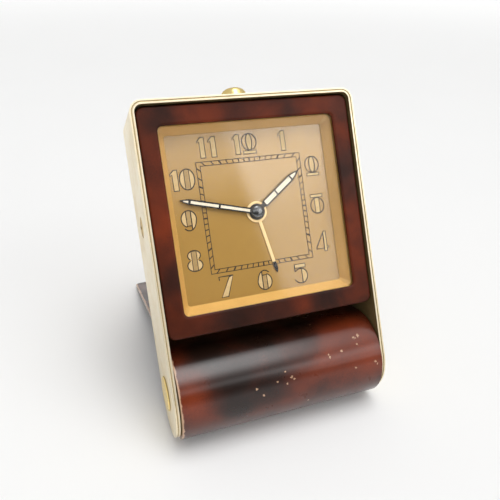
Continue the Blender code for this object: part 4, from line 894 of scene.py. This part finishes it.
@dataclass
class Strap(SubAssembly):
    """The gilt strap with its grooved rims, rivets, side screws and stop button."""

    rim_ridge: float = 0.42
    groove_slope: float = 0.1
    groove_depth: float = 0.13
    edge: float = 0.07
    rivet_edge: float = 0.2
    screw_edge: float = 0.08
    button_edge: float = 0.12
    low_ends: float = 0.5
    under_top: float = 70.0
    spring_radius: float = 1.9
    spring_wire: float = 0.45
    spring_turns: int = 5
    spring_steps: int = 100

    def on_rim(self, face: bpy.types.MeshPolygon) -> bool:
        """Tells the faces of the front and rear edges and of the lower ends."""
        way = face.normal
        return abs(way.x) < HARDLY and (abs(way.y) > ALONG or face.center.z < self.low_ends)

    def on_shaded_inside(self, face: bpy.types.MeshPolygon) -> bool:
        """Tells the faces that look inwards, which are painted dark as shade."""
        spot, way = face.center, face.normal
        return way.x * spot.x < INWARDS * abs(spot.x) or (way.z < INWARDS and spot.z > self.under_top)

    def build(self) -> None:
        """Builds the strap and everything fixed in it."""
        strap = self.copy_node("outer_frame", "strap")
        self.coat(strap, GILT, GILT_GROOVE, GILT_INSIDE_SHADE)
        self.pick(strap, Pick.FACES, self.on_rim)
        bpy.ops.mesh.inset(thickness=self.rim_ridge, depth=0.0)
        bpy.ops.mesh.inset(thickness=self.groove_slope, depth=-self.groove_depth)
        self.paint(strap, 1)
        # Painted shade: the faces that look inwards take the dark gilt.
        self.pick(strap, Pick.FACES, self.on_shaded_inside)
        self.paint(strap, 2)
        self.soften(strap, self.edge)
        self.settle(strap, Body.CLOCK, Slot.GILT, None, ("outer_frame",))
        for side in SIDES:
            rivet, screw = f"hinge_rivet_{side}", f"case_screw_{side}"
            self.refine(rivet, f"rivet_cap_{side}", Body.CLOCK, Slot.BRASS, GILT_DOME, self.rivet_edge)
            self.refine(screw, f"side_screw_{side}", Body.CLOCK, Slot.BRASS, BRASS, self.screw_edge)
        self.refine("stop_button", "button_dome", Body.BUTTON, Slot.BRASS, GILT_DOME, self.button_edge)
        self.build_spring()

    def build_spring(self) -> None:
        """Winds the coil under the button."""
        low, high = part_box("button_spring")
        inside = CLOCK_AXES.inverted()
        middle = inside @ ((low + high) / 2)
        heights = [(inside @ v.co).z for v in self.frame["nodes"]["button_spring"].data.vertices]
        foot, top = min(heights) + self.spring_wire / 2, max(heights) - self.spring_wire / 2
        points = []
        for step in range(self.spring_steps + 1):
            share = step / self.spring_steps
            angle = share * self.spring_turns * math.tau
            points.append((
                self.spring_radius * math.cos(angle),
                middle.y + self.spring_radius * math.sin(angle),
                foot + (top - foot) * share,
            ))
        coil = self.line_work("button_coil", [(points, False)], self.spring_wire)
        self.soften(coil, 0.0)
        self.settle(coil, Body.CLOCK, Slot.STEEL, SPRING_STEEL, ("button_spring",))
        press = Vector(self.joint("button_press")["axis"])
        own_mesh(coil)


@dataclass
class LacquerCover(SubAssembly):
    """The lacquered panel with its roll, and the discs that carry it.

    A chip is given by x, the angle round the roll and a radius, a cloud by a weight as well. The three dark clouds
    at 90 to 93 degrees, on the roll's top under the bezel, are painted shade.
    """

    roll_radius: float = 12.9
    half_width: float = 30.0
    rubbed_width: float = 0.5
    edge: float = 0.16
    end_edge: float = 0.1
    roughness: float = 0.32
    coat_weight: float = 0.7
    chips: tuple[Triple, ...] = (
        (22.5, 60, 1.63), (24.0, 61, 1.87), (22.9, 51, 1.00), (17.6, 47, 1.12), (13.6, 43, 1.06),
        (13.3, 46, 0.87), (21.1, 22, 1.25), (27.6, 24, 1.12), (28.2, 20, 1.00), (1.2, 30, 1.25),
        (2.0, 27, 1.00), (-3.0, 28, 1.00), (-0.2, 23, 0.94), (-9.1, 26, 1.12), (-7.3, 16, 1.25),
        (6.4, -11, 0.87), (-0.3, 38, 0.75), (12.0, 95, 0.87), (-22.0, -42, 1.00),
    )
    # The last three clouds darken the roll's top under the bezel: painted shade. The others are the lacquer's own
    # clouding.
    clouds: tuple[Cloud, ...] = (
        (-27.0, 37, 8.0, 0.26), (-25.0, 5, 8.0, 0.16), (-12.0, 34, 11.0, -0.2), (-2.0, 30, 7.0, -0.12),
        (-15.0, 5, 5.0, -0.12), (3.0, 5, 8.0, 0.06), (12.0, 25, 9.0, 0.1), (20.0, 40, 12.0, 0.2),
        (26.0, 20, 9.0, 0.16), (-20.0, 90, 8.0, -0.3), (-5.0, 93, 9.0, -0.28), (8.0, 93, 8.0, -0.24),
    )

    def on_roll(self, x: float, angle: float) -> Triple:
        """A place on the roll in the clock's axes, by its angle above the level in front."""
        turned = math.radians(angle) - LEAN
        return x, -self.roll_radius * math.cos(turned), self.roll_radius * math.sin(turned)

    def build(self) -> None:
        """Builds the cover and its ends."""
        finish = Tortoise(
            "cover_lacquer",
            patches=tuple(Patch(self.on_roll(x, angle), *size) for x, angle, *size in self.clouds),
            chips=tuple(Patch(self.on_roll(x, angle), radius) for x, angle, radius in self.chips),
            rubbed_from=self.half_width - self.rubbed_width, roughness=self.roughness, coat=self.coat_weight,
        )
        self.refine("cover", "cover_sheet", Body.COVER, Slot.LACQUER, finish, self.edge)
        for side in SIDES:
            node, name = f"cover_end_{side}", f"roll_end_{side}"
            self.refine(node, name, Body.COVER, Slot.BRASS, PLATE_BRASS, self.end_edge)


@dataclass
class Case(SubAssembly):
    """The case, painted near black as shade in the gap under the bezel, with its lacquered bezel, glass and flange.

    A cloud on the bezel is given by x, z, a radius and a weight.
    """

    edge: float = 0.14
    shell_edge: float = 0.1
    flange_edge: float = 0.08
    front: float = -10.0
    cloud_shift: Triple = (40.0, 0.0, 13.0)
    clouds: tuple[Cloud, ...] = (
        (-25.0, 74.0, 6.0, -0.16), (-12.0, 73.0, 9.0, 0.12), (20.0, 73.0, 8.0, 0.1), (27.0, 66.0, 7.0, 0.14),
        (27.0, 53.0, 8.0, -0.04), (3.0, 73.0, 9.0, 0.13), (27.0, 32.0, 10.0, 0.12), (16.0, 20.0, 6.0, -0.14),
        (8.0, 20.0, 5.0, 0.16), (-9.0, 20.0, 11.0, -0.14), (-27.0, 31.0, 6.0, -0.1), (-27.0, 50.0, 15.0, 0.16),
        (-27.0, 66.0, 7.0, 0.12),
    )

    def build(self) -> None:
        """Builds the bezel and dresses the case."""
        patches = tuple(Patch((x, self.front, z), *size) for x, z, *size in self.clouds)
        finish = Tortoise("bezel_lacquer", patches=patches, shift=self.cloud_shift)
        self.refine("bezel", "bezel_frame", Body.CLOCK, Slot.LACQUER, finish, self.edge)
        # The case shell is painted near black as shade.
        self.refine("inner_case", "case_shell", Body.CLOCK, Slot.GILT, CASE_SHADE, self.shell_edge)
        self.refine("dial_flange", "sloped_flange", Body.CLOCK, Slot.GILT, GILT_WARM, self.flange_edge)
        self.dress(GLASS, "crystal")


def oval(x: float, y: float, wide: float, high: float, start: float = 0.0, end: float = 360.0) -> Outline:
    """Points round an oval or along a part of it.

    Args:
        x: its middle, across.
        y: its middle, upwards.
        wide: half its width.
        high: half its height.
        start: where it starts, in degrees anticlockwise from the right.
        end: where it ends.

    Returns:
        The points in order.
    """
    count = max(ARC_LEAST, round(abs(end - start) / ARC_STEP))
    steps = range(count if end - start >= 360 else count + 1)
    turns = (math.radians(start + (end - start) * k / count) for k in steps)
    return [(x + wide * math.cos(a), y + high * math.sin(a)) for a in turns]


def block(left: float, low: float, right: float, high: float) -> Outline:
    """Corners of an upright rectangle."""
    return [(left, low), (right, low), (right, high), (left, high)]


def cheek(x: float, y: float, wide: float, high: float, inner: float) -> Outline:
    """The part of an oval beyond an upright line beside its middle.

    Args:
        x: the oval's middle, across.
        y: the oval's middle, upwards.
        wide: half its width.
        high: half its height.
        inner: the line's distance from the middle, negative for the left cheek.

    Returns:
        The points in order.
    """
    turn = math.degrees(math.acos(min(1.0, abs(inner) / wide)))
    side = oval(x, y, wide, high, -turn, turn)
    return side if inner > 0 else [(2 * x - px, py) for px, py in side]


def lens(x: float, low: float, high: float, wide: float) -> Outline:
    """A pointed leaf that stands upright.

    Args:
        x: its middle, across.
        low: its lower tip.
        high: its upper tip.
        wide: half its width.

    Returns:
        The points in order.
    """
    mid, tall = (low + high) / 2, (high - low) / 2
    turns = [k * math.pi / 2 / LEAF_STEPS for k in range(-LEAF_STEPS, LEAF_STEPS + 1)]
    side = [(wide * math.cos(a), tall * math.sin(a)) for a in turns]
    return [(x + px, mid + py) for px, py in side] + [(x - px, mid - py) for px, py in side[1:-1]]


@dataclass(frozen=True)
class Figure:
    """One digit: pale fills, outlines that close unless they are strokes, and darker bars."""

    fills: tuple[Outline, ...]
    outlines: tuple[Outline, ...]
    strokes: tuple[Outline, ...] = ()
    bars: tuple[Outline, ...] = ()


def barred(wide: float, high: float, bar: float, reach: float) -> Figure:
    """A round digit with pale cheeks either side of an upright bar.

    Args:
        wide: half its width.
        high: half its height.
        bar: half the bar's width.
        reach: half the bar's height.

    Returns:
        The digit.
    """
    middle = block(-bar, -reach, bar, reach)
    cheeks = tuple(cheek(0, 0.0, wide, high, inner) for inner in (bar, -bar))
    return Figure(cheeks, (oval(0, 0.0, wide, high), middle), (), (middle,))


def turned_over(figure: Figure) -> Figure:
    """A digit turned by half a turn."""
    groups = (figure.fills, figure.outlines, figure.strokes, figure.bars)
    return Figure(*(tuple([(-x, -y) for x, y in outline] for outline in group) for group in groups))


ONE = [(0.7, -2.8), (0.7, 2.8), (-0.25, 2.8), (-1.3, 1.75), (-1.3, 1.35), (-0.7, 1.6), (-0.7, -2.8)]
FOUR = [(1.4, 2.9), (0.75, 2.9), (-1.95, -1.55), (-1.95, -2.05), (0.5, -2.05), (0.5, -2.9), (1.4, -2.9),
        (1.4, -2.05), (1.95, -2.05), (1.95, -1.5), (1.4, -1.5)]
SEVEN = [(2.1, 2.85), (0.95, 2.5), (-1.85, -2.85), (0.05, -2.85)]
EIGHT_TOP, EIGHT_LOW = (1.5, 1.75, 1.35), (-1.22, 2.08, 1.6)
NINE_TAIL = [(1.93, -0.4), (1.72, -1.15), (1.3, -1.95), (0.68, -2.5)]
NINE = Figure(
    (oval(0, 0.5, 2.08, 2.25, -24, 71) + [(0.68, -2.5), (1.3, -1.95), (1.72, -1.15)],
     cheek(0, 0.5, 2.08, 2.25, -0.68)),
    (),
    (oval(0, 0.5, 2.08, 2.25, -24, 251), NINE_TAIL + [(0.0, -2.72), (-0.7, -2.6), (-1.45, -2.05)],
     [(-0.68, 2.6), (-0.68, -1.4), (0.68, -1.4)], [(0.68, 2.6), (0.68, -2.5)]),
    (block(-0.68, -1.4, 0.68, 2.62),),
)
FIGURES: dict[str, Figure] = {
    "0": barred(2.07, 2.82, 0.7, 2.7),
    "1": Figure((ONE,), (ONE,)),
    "2": Figure((lens(0, -1.8, 2.75, 0.8), block(-1.9, -2.8, 1.9, -1.95)),
                (oval(0, 0.5, 2.15, 2.3), lens(0, -1.8, 2.8, 0.85), block(-1.9, -2.8, 1.9, -1.95))),
    "3": Figure((block(-0.72, -2.6, 0.72, 1.8), block(-1.9, 1.95, 1.9, 2.8)),
                (oval(0, -0.5, 2.1, 2.3), block(-0.72, -2.6, 0.72, 1.85), block(-1.9, 1.95, 1.9, 2.8))),
    "4": Figure((block(0.5, -2.85, 1.4, 2.85),), (FOUR,), ([(0.55, 2.6), (0.55, -2.1)],)),
    "5": Figure((block(-1.65, 1.75, 1.6, 2.8), cheek(-0.05, -0.65, 2.08, 2.13, 0.42)),
                (block(-1.65, 1.75, 1.6, 2.8),),
                (oval(-0.05, -0.65, 2.08, 2.13, -158, 140), [(-1.75, 2.8), (-1.75, 0.75)],
                 [(0.37, 1.3), (0.37, -2.65)])),
    "6": turned_over(NINE),
    "7": Figure((SEVEN,), (SEVEN,), ([(-1.9, 1.9), (-2.0, 2.85), (2.1, 2.85)],)),
    "8": Figure(
        tuple(cheek(0, *part, bar) for part in (EIGHT_TOP, EIGHT_LOW) for bar in (0.7, -0.7)),
        (block(-0.7, -2.7, 0.7, 2.7),),
        (oval(0, *EIGHT_TOP, -48, 228), oval(0, *EIGHT_LOW, 124, 416)),
        (block(-0.7, -2.7, 0.7, 2.7),),
    ),
    "9": NINE,
}


@dataclass
class Dial(SubAssembly):
    """The champagne dial with its printed hour figures and square minute track."""

    ink_width: float = 0.34
    track_width: float = 0.306
    mark_width: float = 0.43
    ink_rise: float = 0.02
    fill_rise: float = 0.006
    track: Band = (14.25, 15.35)
    hours: tuple[tuple[str, float, float], ...] = (
        ("1", -12.95, 19.2), ("1", -9.8, 19.2), ("1", -2.9, 19.2), ("2", 0.6, 19.2), ("1", 10.8, 19.2),
        ("2", 18.85, 11.1), ("3", 18.95, 0.0), ("4", 18.95, -11.15), ("5", 10.9, -19.4), ("6", -0.3, -19.4),
        ("7", -11.5, -19.35), ("8", -19.45, -11.0), ("9", -19.4, 0.0), ("1", -21.5, 11.1), ("0", -18.3, 11.1),
    )

    def build(self) -> None:
        """Dresses the plate and prints it."""
        self.dress(CHAMPAGNE, "dial")
        lines: list[Line] = []
        fills: list[Piece] = []
        bars: list[Piece] = []
        for digit, x, y in self.hours:
            figure = FIGURES[digit]
            for outlines, kept in ((figure.fills, fills), (figure.bars, bars)):
                for outline in outlines:
                    kept.append(self.plate("fill", [(x + px, y + py) for px, py in outline], self.fill_rise))
            for drawn, closes in ((figure.outlines, True), (figure.strokes, False)):
                lines += [([(x + px, y + py) for px, py in outline], closes) for outline in drawn]
        self.print_piece(self.joined("figure_fills", fills), LUME)
        self.print_piece(self.joined("figure_bars", bars), BAR_INK)
        self.print_lines("figure_outlines", lines, self.ink_width, INK)
        self.print_track()

    def print_track(self) -> None:
        """Prints the two squares of the track and its sixty marks."""
        fine: list[Line] = [(block(-half, -half, half, half), True) for half in self.track]
        bold: list[Line] = []
        for mark in range(60):
            way = Vector((math.sin(mark * math.tau / 60), math.cos(mark * math.tau / 60)))
            reach = max(abs(way.x), abs(way.y))
            ends = [tuple(way * (half / reach)) for half in self.track]
            (fine if mark % 5 else bold).append((ends, False))
        self.print_lines("track_lines", fine, self.track_width, INK)
        self.print_lines("track_marks", bold, self.mark_width, MARK_INK)

    def print_lines(self, name: str, lines: list[Line], width: float, finish: Finish) -> None:
        """Prints lines that are pressed almost flat.

        Args:
            name: the new piece's name.
            lines: for each line its points and whether it closes.
            width: the lines' width in mm.
            finish: the ink.
        """
        obj = self.line_work(name, lines, width)
        obj.data.transform(Matrix.Diagonal((1.0, 1.0, self.ink_rise * 2 / width, 1.0)))
        self.print_piece(obj, finish)

    def print_piece(self, obj: Piece, finish: Finish) -> None:
        """Lays a printed piece on the dial's face."""
        self.settle(obj, Body.CLOCK, Slot.DIAL, finish, (), dial_place(DIAL_FACE))


@dataclass(frozen=True)
class HandShape:
    """A hand's stations along its length and its boss; sizes in mm."""

    name: str
    node: str
    body: Body
    level: float
    turn: float
    stations: tuple[tuple[float, float], ...]
    windows: tuple[tuple[float, float], ...]
    rim: float
    boss: tuple[float, float]
    finish: Finish
    window_finish: Finish
    slot: Slot


@dataclass
class Hands(SubAssembly):
    """The three hands and the domed cap in the middle."""

    thick: float = 0.2
    recess: float = 0.06
    window_lip: float = 0.02
    least_core: float = 0.3
    plain_core: float = 0.4
    boss_foot: float = 0.05
    boss_round: float = 0.06
    boss_steps: int = 56
    cap_level: float = -7.25
    cap_profile: tuple[Point, ...] = (
        (0.0, 0.0), (1.6, 0.0), (1.68, 0.04), (1.68, 0.1), (1.6, 0.2), (1.42, 0.3), (1.15, 0.38), (0.8, 0.44),
        (0.4, 0.47), (0.0, 0.48),
    )
    shapes: tuple[HandShape, ...] = (
        HandShape(
            "minute_baton", "minute_hand", Body.MINUTE, -6.95, -75.3,
            ((1.2, 0.78), (2.2, 0.78), (10.72, 0.78), (11.26, 0.78), (19.1, 0.78), (19.72, 0.74), (21.1, 0.44),
             (22.05, 0.1)),
            ((2.2, 10.72), (11.26, 19.1), (19.72, 21.1)), 0.38, (0.97, 1.62), HAND_BLACK, HAND_LUME, Slot.BLACK,
        ),
        HandShape(
            "hour_baton", "hour_hand", Body.HOUR, -6.55, 53.7,
            ((1.9, 0.62), (2.9, 0.62), (3.15, 0.98), (3.5, 1.02), (7.82, 1.02), (8.22, 1.02), (13.95, 1.02),
             (14.4, 1.0), (16.3, 0.5), (17.25, 0.1)),
            ((3.5, 7.82), (8.22, 13.95), (14.4, 16.3)), 0.34, (1.62, 2.3), HOUR_DARK, HAND_LUME, Slot.BLACK,
        ),
        HandShape(
            "alarm_pointer", "alarm_hand", Body.ALARM, -6.15, 168.0,
            ((2.6, 0.45), (15.0, 0.45), (15.9, 0.6), (17.0, 0.58), (18.15, 0.12)),
            ((15.0, 18.15),), 0.0, (2.27, 3.0), HAND_GOLD, HAND_BLACK, Slot.BRASS,
        ),
    )

    def build(self) -> None:
        """Builds each hand, then the cap."""
        for shape in self.shapes:
            self.build_hand(shape)
        cap = self.turned("hub_cap", self.cap_profile)
        self.soften(cap, 0.0)
        self.settle(cap, Body.MINUTE, Slot.BLACK, HUB_BLACK, ("hand_cap",), dial_place(self.cap_level))

    def build_hand(self, shape: HandShape) -> None:
        """Builds a baton with sunk windows and the boss that it is riveted to.

        Args:
            shape: the hand's sizes and finishes.
        """
        self.take()
        bpy.ops.mesh.primitive_grid_add(x_subdivisions=3, y_subdivisions=len(shape.stations) - 1, size=2.0)
        baton = bpy.context.object
        rows = sorted(baton.data.vertices, key=lambda v: (round(v.co.y, 4), v.co.x))
        for number, vertex in enumerate(rows):
            along, half = shape.stations[number // 4]
            core = max(half - shape.rim, self.least_core * half) if shape.rim else self.plain_core * half
            vertex.co = ((-half, -core, core, half)[number % 4], along, 0.0)
        self.coat(baton, shape.finish, shape.window_finish)
        self.thicken(baton, self.thick)
        across = self.window_lip if shape.rim else math.inf
        self.pick(baton, Pick.FACES, lambda face: face.normal.z > ALONG and abs(face.center.x) < across
                  and any(low < face.center.y < high for low, high in shape.windows))
        if shape.rim:
            bpy.ops.mesh.inset(thickness=self.window_lip, depth=-self.recess)
        self.paint(baton, 1)
        (inner, outer), top, low, high = shape.boss, self.thick, self.boss_foot, self.boss_round
        boss = self.turned("boss", (
            (inner, 0.0), (outer - low, 0.0), (outer, low), (outer, top - high), (outer - high, top), (inner, top),
        ), closed=True, steps=self.boss_steps)
        self.coat(boss, shape.finish)
        hand = self.joined(shape.name, (boss, baton))
        self.soften(hand, 0.0)
        place = dial_place(shape.level, shape.turn)
        self.settle(hand, shape.body, shape.slot, None, (shape.node,), place)


@dataclass
class Back(SubAssembly):
    """The back cover with its keys, knobs and screws."""

    edge: float = 0.1
    screw_edge: float = 0.06

    def build(self) -> None:
        """Rounds and dresses what shows on the back."""
        self.refine("back_cover", "back_plate_cover", Body.CLOCK, Slot.GILT, GILT_WARM, self.edge)
        for number in range(1, 5):
            node, name = f"back_screw_{number}", f"cover_screw_{number}"
            self.refine(node, name, Body.CLOCK, Slot.BRASS, BRASS, self.screw_edge)
        for node, name, body in (
            ("winding_key", "key_winding", Body.WINDING), ("alarm_key", "key_alarm", Body.ALARM_WINDING),
            ("hand_set_knob", "knob_hands", Body.HAND_SETTING),
            ("alarm_set_knob", "knob_alarm", Body.ALARM_SETTING),
        ):
            self.refine(node, name, body, Slot.BRASS, BRASS, self.edge)


@dataclass(frozen=True)
class SpiralSpring:
    """A flat spring wound round an arbor; sizes in mm."""

    name: str
    node: str
    joint: str
    body: Body
    inner: float
    outer: float
    turns: float
    low: float
    high: float
    thick: float


@dataclass
class Movement(SubAssembly):
    """The wheelwork between the plates."""

    turn_steps: int = 28
    springs: tuple[SpiralSpring, ...] = (
        SpiralSpring("mainspring_going", "going_barrel_mainspring", "barrel_turn", Body.BARREL,
                     2.25, 8.25, 9.0, 0.02, 2.28, 0.22),
        SpiralSpring("mainspring_alarm", "alarm_barrel_mainspring", "alarm_drum_turn", Body.ALARM_DRUM,
                     2.25, 5.6, 6.0, 0.02, 1.48, 0.2),
        SpiralSpring("hairspring_coil", "hairspring", "balance_swing", Body.BALANCE,
                     1.02, 4.25, 9.0, 4.85, 5.15, 0.09),
    )

    def build(self) -> None:
        """Dresses the wheelwork and winds its springs."""
        self.dress(
            PLATE_BRASS, "front_plate", "back_plate", *(f"pillar_{number}" for number in range(1, 5)),
            "balance_cock", "hour_wheel", "alarm_wheel", "minute_wheel", "going_barrel", "alarm_barrel",
            "centre_wheel", "third_wheel", "fourth_wheel", "escape_wheel", "balance_wheel", "strike_wheel",
        )
        self.dress(
            STEEL, "cock_screw", "sounding_post", "cannon_pinion", "alarm_set_arbor", "barrel_arbor",
            "alarm_barrel_arbor", "pallet_lever", "click", "alarm_click", "alarm_hammer",
        )
        for spring in self.springs:
            self.wind(spring)

    def axis_place(self, joint: str) -> Matrix:
        """Place of a piece wound round a joint's axis, with z towards the back."""
        spot = CLOCK_AXES.inverted() @ Vector(self.joint(joint)["pos_m"])
        return CLOCK_AXES @ Matrix.Translation((spot.x, 0.0, spot.z)) @ Matrix.Rotation(-math.pi / 2, 4, "X")

    def wind(self, spring: SpiralSpring) -> None:
        """Winds one spring as a ribbon and gives it its thickness.

        Args:
            spring: the spring's sizes.
        """
        steps = round(spring.turns * self.turn_steps)
        self.take()
        bpy.ops.mesh.primitive_grid_add(x_subdivisions=steps, y_subdivisions=1, size=2.0)
        ribbon = bpy.context.object
        ribbon.name = spring.name
        columns = sorted(ribbon.data.vertices, key=lambda v: (round(v.co.x, 5), v.co.y))
        for number, vertex in enumerate(columns):
            share = (number // 2) / steps
            angle = share * spring.turns * math.tau
            radius = spring.inner + spring.thick / 2 + (spring.outer - spring.inner - spring.thick) * share
            height = spring.high if number % 2 else spring.low
            vertex.co = (radius * math.cos(angle), radius * math.sin(angle), height)
        wall = ribbon.modifiers.new("wall", "SOLIDIFY")
        wall.thickness, wall.offset = spring.thick, 0.0
        self.take(ribbon)
        bpy.ops.object.modifier_apply(modifier=wall.name)
        self.edit(ribbon)
        self.face_outwards()
        self.soften(ribbon, 0.0)
        self.settle(ribbon, spring.body, Slot.STEEL, SPRING_STEEL, (spring.node,), self.axis_place(spring.joint))


@dataclass(frozen=True)
class SoftBox:
    """A large soft lamp that mirrors don't show; sizes in metres."""

    name: str
    spot: Triple
    size: Band
    power: float


Border = tuple[Triple, float, float]
X_AXIS, Y_AXIS, Z_AXIS = (1.0, 0.0, 0.0), (0.0, 1.0, 0.0), (0.0, 0.0, 1.0)
WINDOW_EDGE = (0.927, 0.373, 0.037)
WINDOW_SIDES: tuple[Border, ...] = ((WINDOW_EDGE, -0.014, 0.024), (X_AXIS, 0.86, 0.66), (Y_AXIS, -0.32, -0.5))
SKY_SIDES: tuple[Border, ...] = (
    (X_AXIS, -0.2, 0.05), (Y_AXIS, 0.32, -0.05), (Y_AXIS, -0.68, -0.28), (Z_AXIS, 0.3, 0.6),
)


@dataclass(frozen=True)
class Pane:
    """A bright area of the room with soft borders: an axis, and where along it the light starts and is full."""

    strength: float
    borders: tuple[Border, ...]

    def mask(self, sheet: Sheet, ahead: Any) -> Any:
        """Draws how much of the pane shows in a direction.

        Args:
            sheet: the world's nodes.
            ahead: the direction.

        Returns:
            The share from 0 to 1.
        """
        share: Any = 1.0
        for axis, start, full in self.borders:
            along = sheet.vectors("DOT_PRODUCT", ahead, axis, 1)
            share = sheet.maths("MULTIPLY", share, sheet.spread(along, start, full))
        return share


@dataclass
class Studio(SubAssembly):
    """The pale floor, the soft light and the camera; places in metres and angles in degrees."""

    camera_spot: Triple = (-0.04568, -0.13556, 0.11767)
    yaw: float = 20.151
    pitch: float = -29.623
    roll: float = 1.31
    lens: float = 36.12
    sensor: float = 36.0
    nearest: float = 0.005
    floor_half: float = 3.0
    lamp_aim: Triple = (0.0, 0.0, 0.05)
    lamps: tuple[SoftBox, ...] = (
        SoftBox("overhead", (0.1, -0.15, 0.9), (0.6, 0.6), 0.6),
        SoftBox("front_fill", (-0.5, -0.95, 0.6), (1.2, 1.2), 0.5),
    )
    panes: tuple[Pane, ...] = (
        Pane(1.85, (*WINDOW_SIDES, (Z_AXIS, 0.74, 0.55), (Z_AXIS, 0.2, 0.29))),
        Pane(1.0, (*WINDOW_SIDES, (Z_AXIS, 0.68, 0.56), (Z_AXIS, 0.4, 0.52))),
        Pane(1.4, ((WINDOW_EDGE, 0.06, -0.03), (Y_AXIS, -0.3, -0.5), (Z_AXIS, 0.46, 0.6), (Z_AXIS, 0.72, 0.6))),
        Pane(1.2, (*SKY_SIDES, (X_AXIS, 0.75, 0.5))),
        Pane(4.6, (*SKY_SIDES, (X_AXIS, 0.4, 0.27))),
        Pane(0.55, ((Y_AXIS, -0.3, -0.6), (Z_AXIS, 0.3, 0.02))),
        Pane(0.14, ((X_AXIS, -0.2, -0.6),)),
    )
    room: float = 0.41
    dim_front: float = 0.04
    front_fade: Band = (-0.55, 0.05)
    low_fade: Band = (0.42, 0.68)

    def build(self) -> None:
        """Sets up floor, lamps, world and camera."""
        bpy.context.scene.view_settings.view_transform = "Standard"
        self.lay_floor()
        self.hang_lamps()
        self.paint_world()
        self.set_camera()

    def lay_floor(self) -> None:
        """Lays the floor at the height that the clock stands on."""
        self.take()
        bpy.ops.mesh.primitive_plane_add(size=2 * self.floor_half)
        floor = bpy.context.object
        floor.name = "studio_floor"
        self.coat(floor, FLOOR)
        floor.active_material.cycles.emission_sampling = "NONE"

    def hang_lamps(self) -> None:
        """Hangs each soft lamp and points it at the clock."""
        for lamp in self.lamps:
            light = bpy.data.lights.new(lamp.name, "AREA")
            light.shape, light.energy = "RECTANGLE", lamp.power
            light.size, light.size_y = lamp.size
            obj = bpy.data.objects.new(lamp.name, light)
            obj.visible_camera = obj.visible_glossy = obj.visible_transmission = False
            obj.location = lamp.spot
            obj.rotation_mode = "QUATERNION"
            obj.rotation_quaternion = (Vector(self.lamp_aim) - Vector(lamp.spot)).to_track_quat("-Z", "Y")
            bpy.context.scene.collection.objects.link(obj)

    def paint_world(self) -> None:
        """A white room with a dim front and brighter panes, white behind for the camera."""
        world = bpy.data.worlds.new("white_room")
        bpy.context.scene.world = world
        world.use_nodes = True
        sheet = Sheet(world.node_tree)
        ahead = sheet.add("TexCoord").outputs["Generated"]
        way = sheet.add("SeparateXYZ", {0: ahead}).outputs
        front = sheet.spread(way[1], *self.front_fade, 1.0, 0.0)
        dim = sheet.maths("MULTIPLY", front, sheet.spread(way[2], *self.low_fade, 1.0, 0.0))
        light = sheet.maths("MULTIPLY_ADD", dim, self.dim_front - self.room, self.room)
        for pane in self.panes:
            light = sheet.maths("MULTIPLY_ADD", pane.mask(sheet, ahead), pane.strength, light)
        seen = sheet.add("LightPath").outputs["Is Camera Ray"]
        strength = sheet.maths("MAXIMUM", light, seen)
        sheet.wire(world.node_tree.nodes["Background"], {"Color": (1.0, 1.0, 1.0, 1.0), "Strength": strength})

    def set_camera(self) -> None:
        """Sets the camera where the photograph was taken from."""
        data = bpy.data.cameras.new("viewpoint")
        data.lens, data.sensor_width, data.clip_start = self.lens, self.sensor, self.nearest
        camera = bpy.data.objects.new("viewpoint", data)
        place = Matrix.Translation(self.camera_spot)
        for turn, axis in ((-self.yaw, "Z"), (90.0 + self.pitch, "X"), (self.roll, "Z")):
            place = place @ Matrix.Rotation(math.radians(turn), 4, axis)
        camera.matrix_world = place
        bpy.context.scene.collection.objects.link(camera)
        bpy.context.scene.camera = camera


def main() -> None:
    """Loads the frame and builds every sub-assembly in order."""
    logging.basicConfig(level=logging.INFO, format="%(message)s")
    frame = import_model()
    for part in (Studio, Strap, LacquerCover, Case, Dial, Hands, Back, Movement):
        part(frame).build()
    SubAssembly.take()


if __name__ == "__main__":
    main()
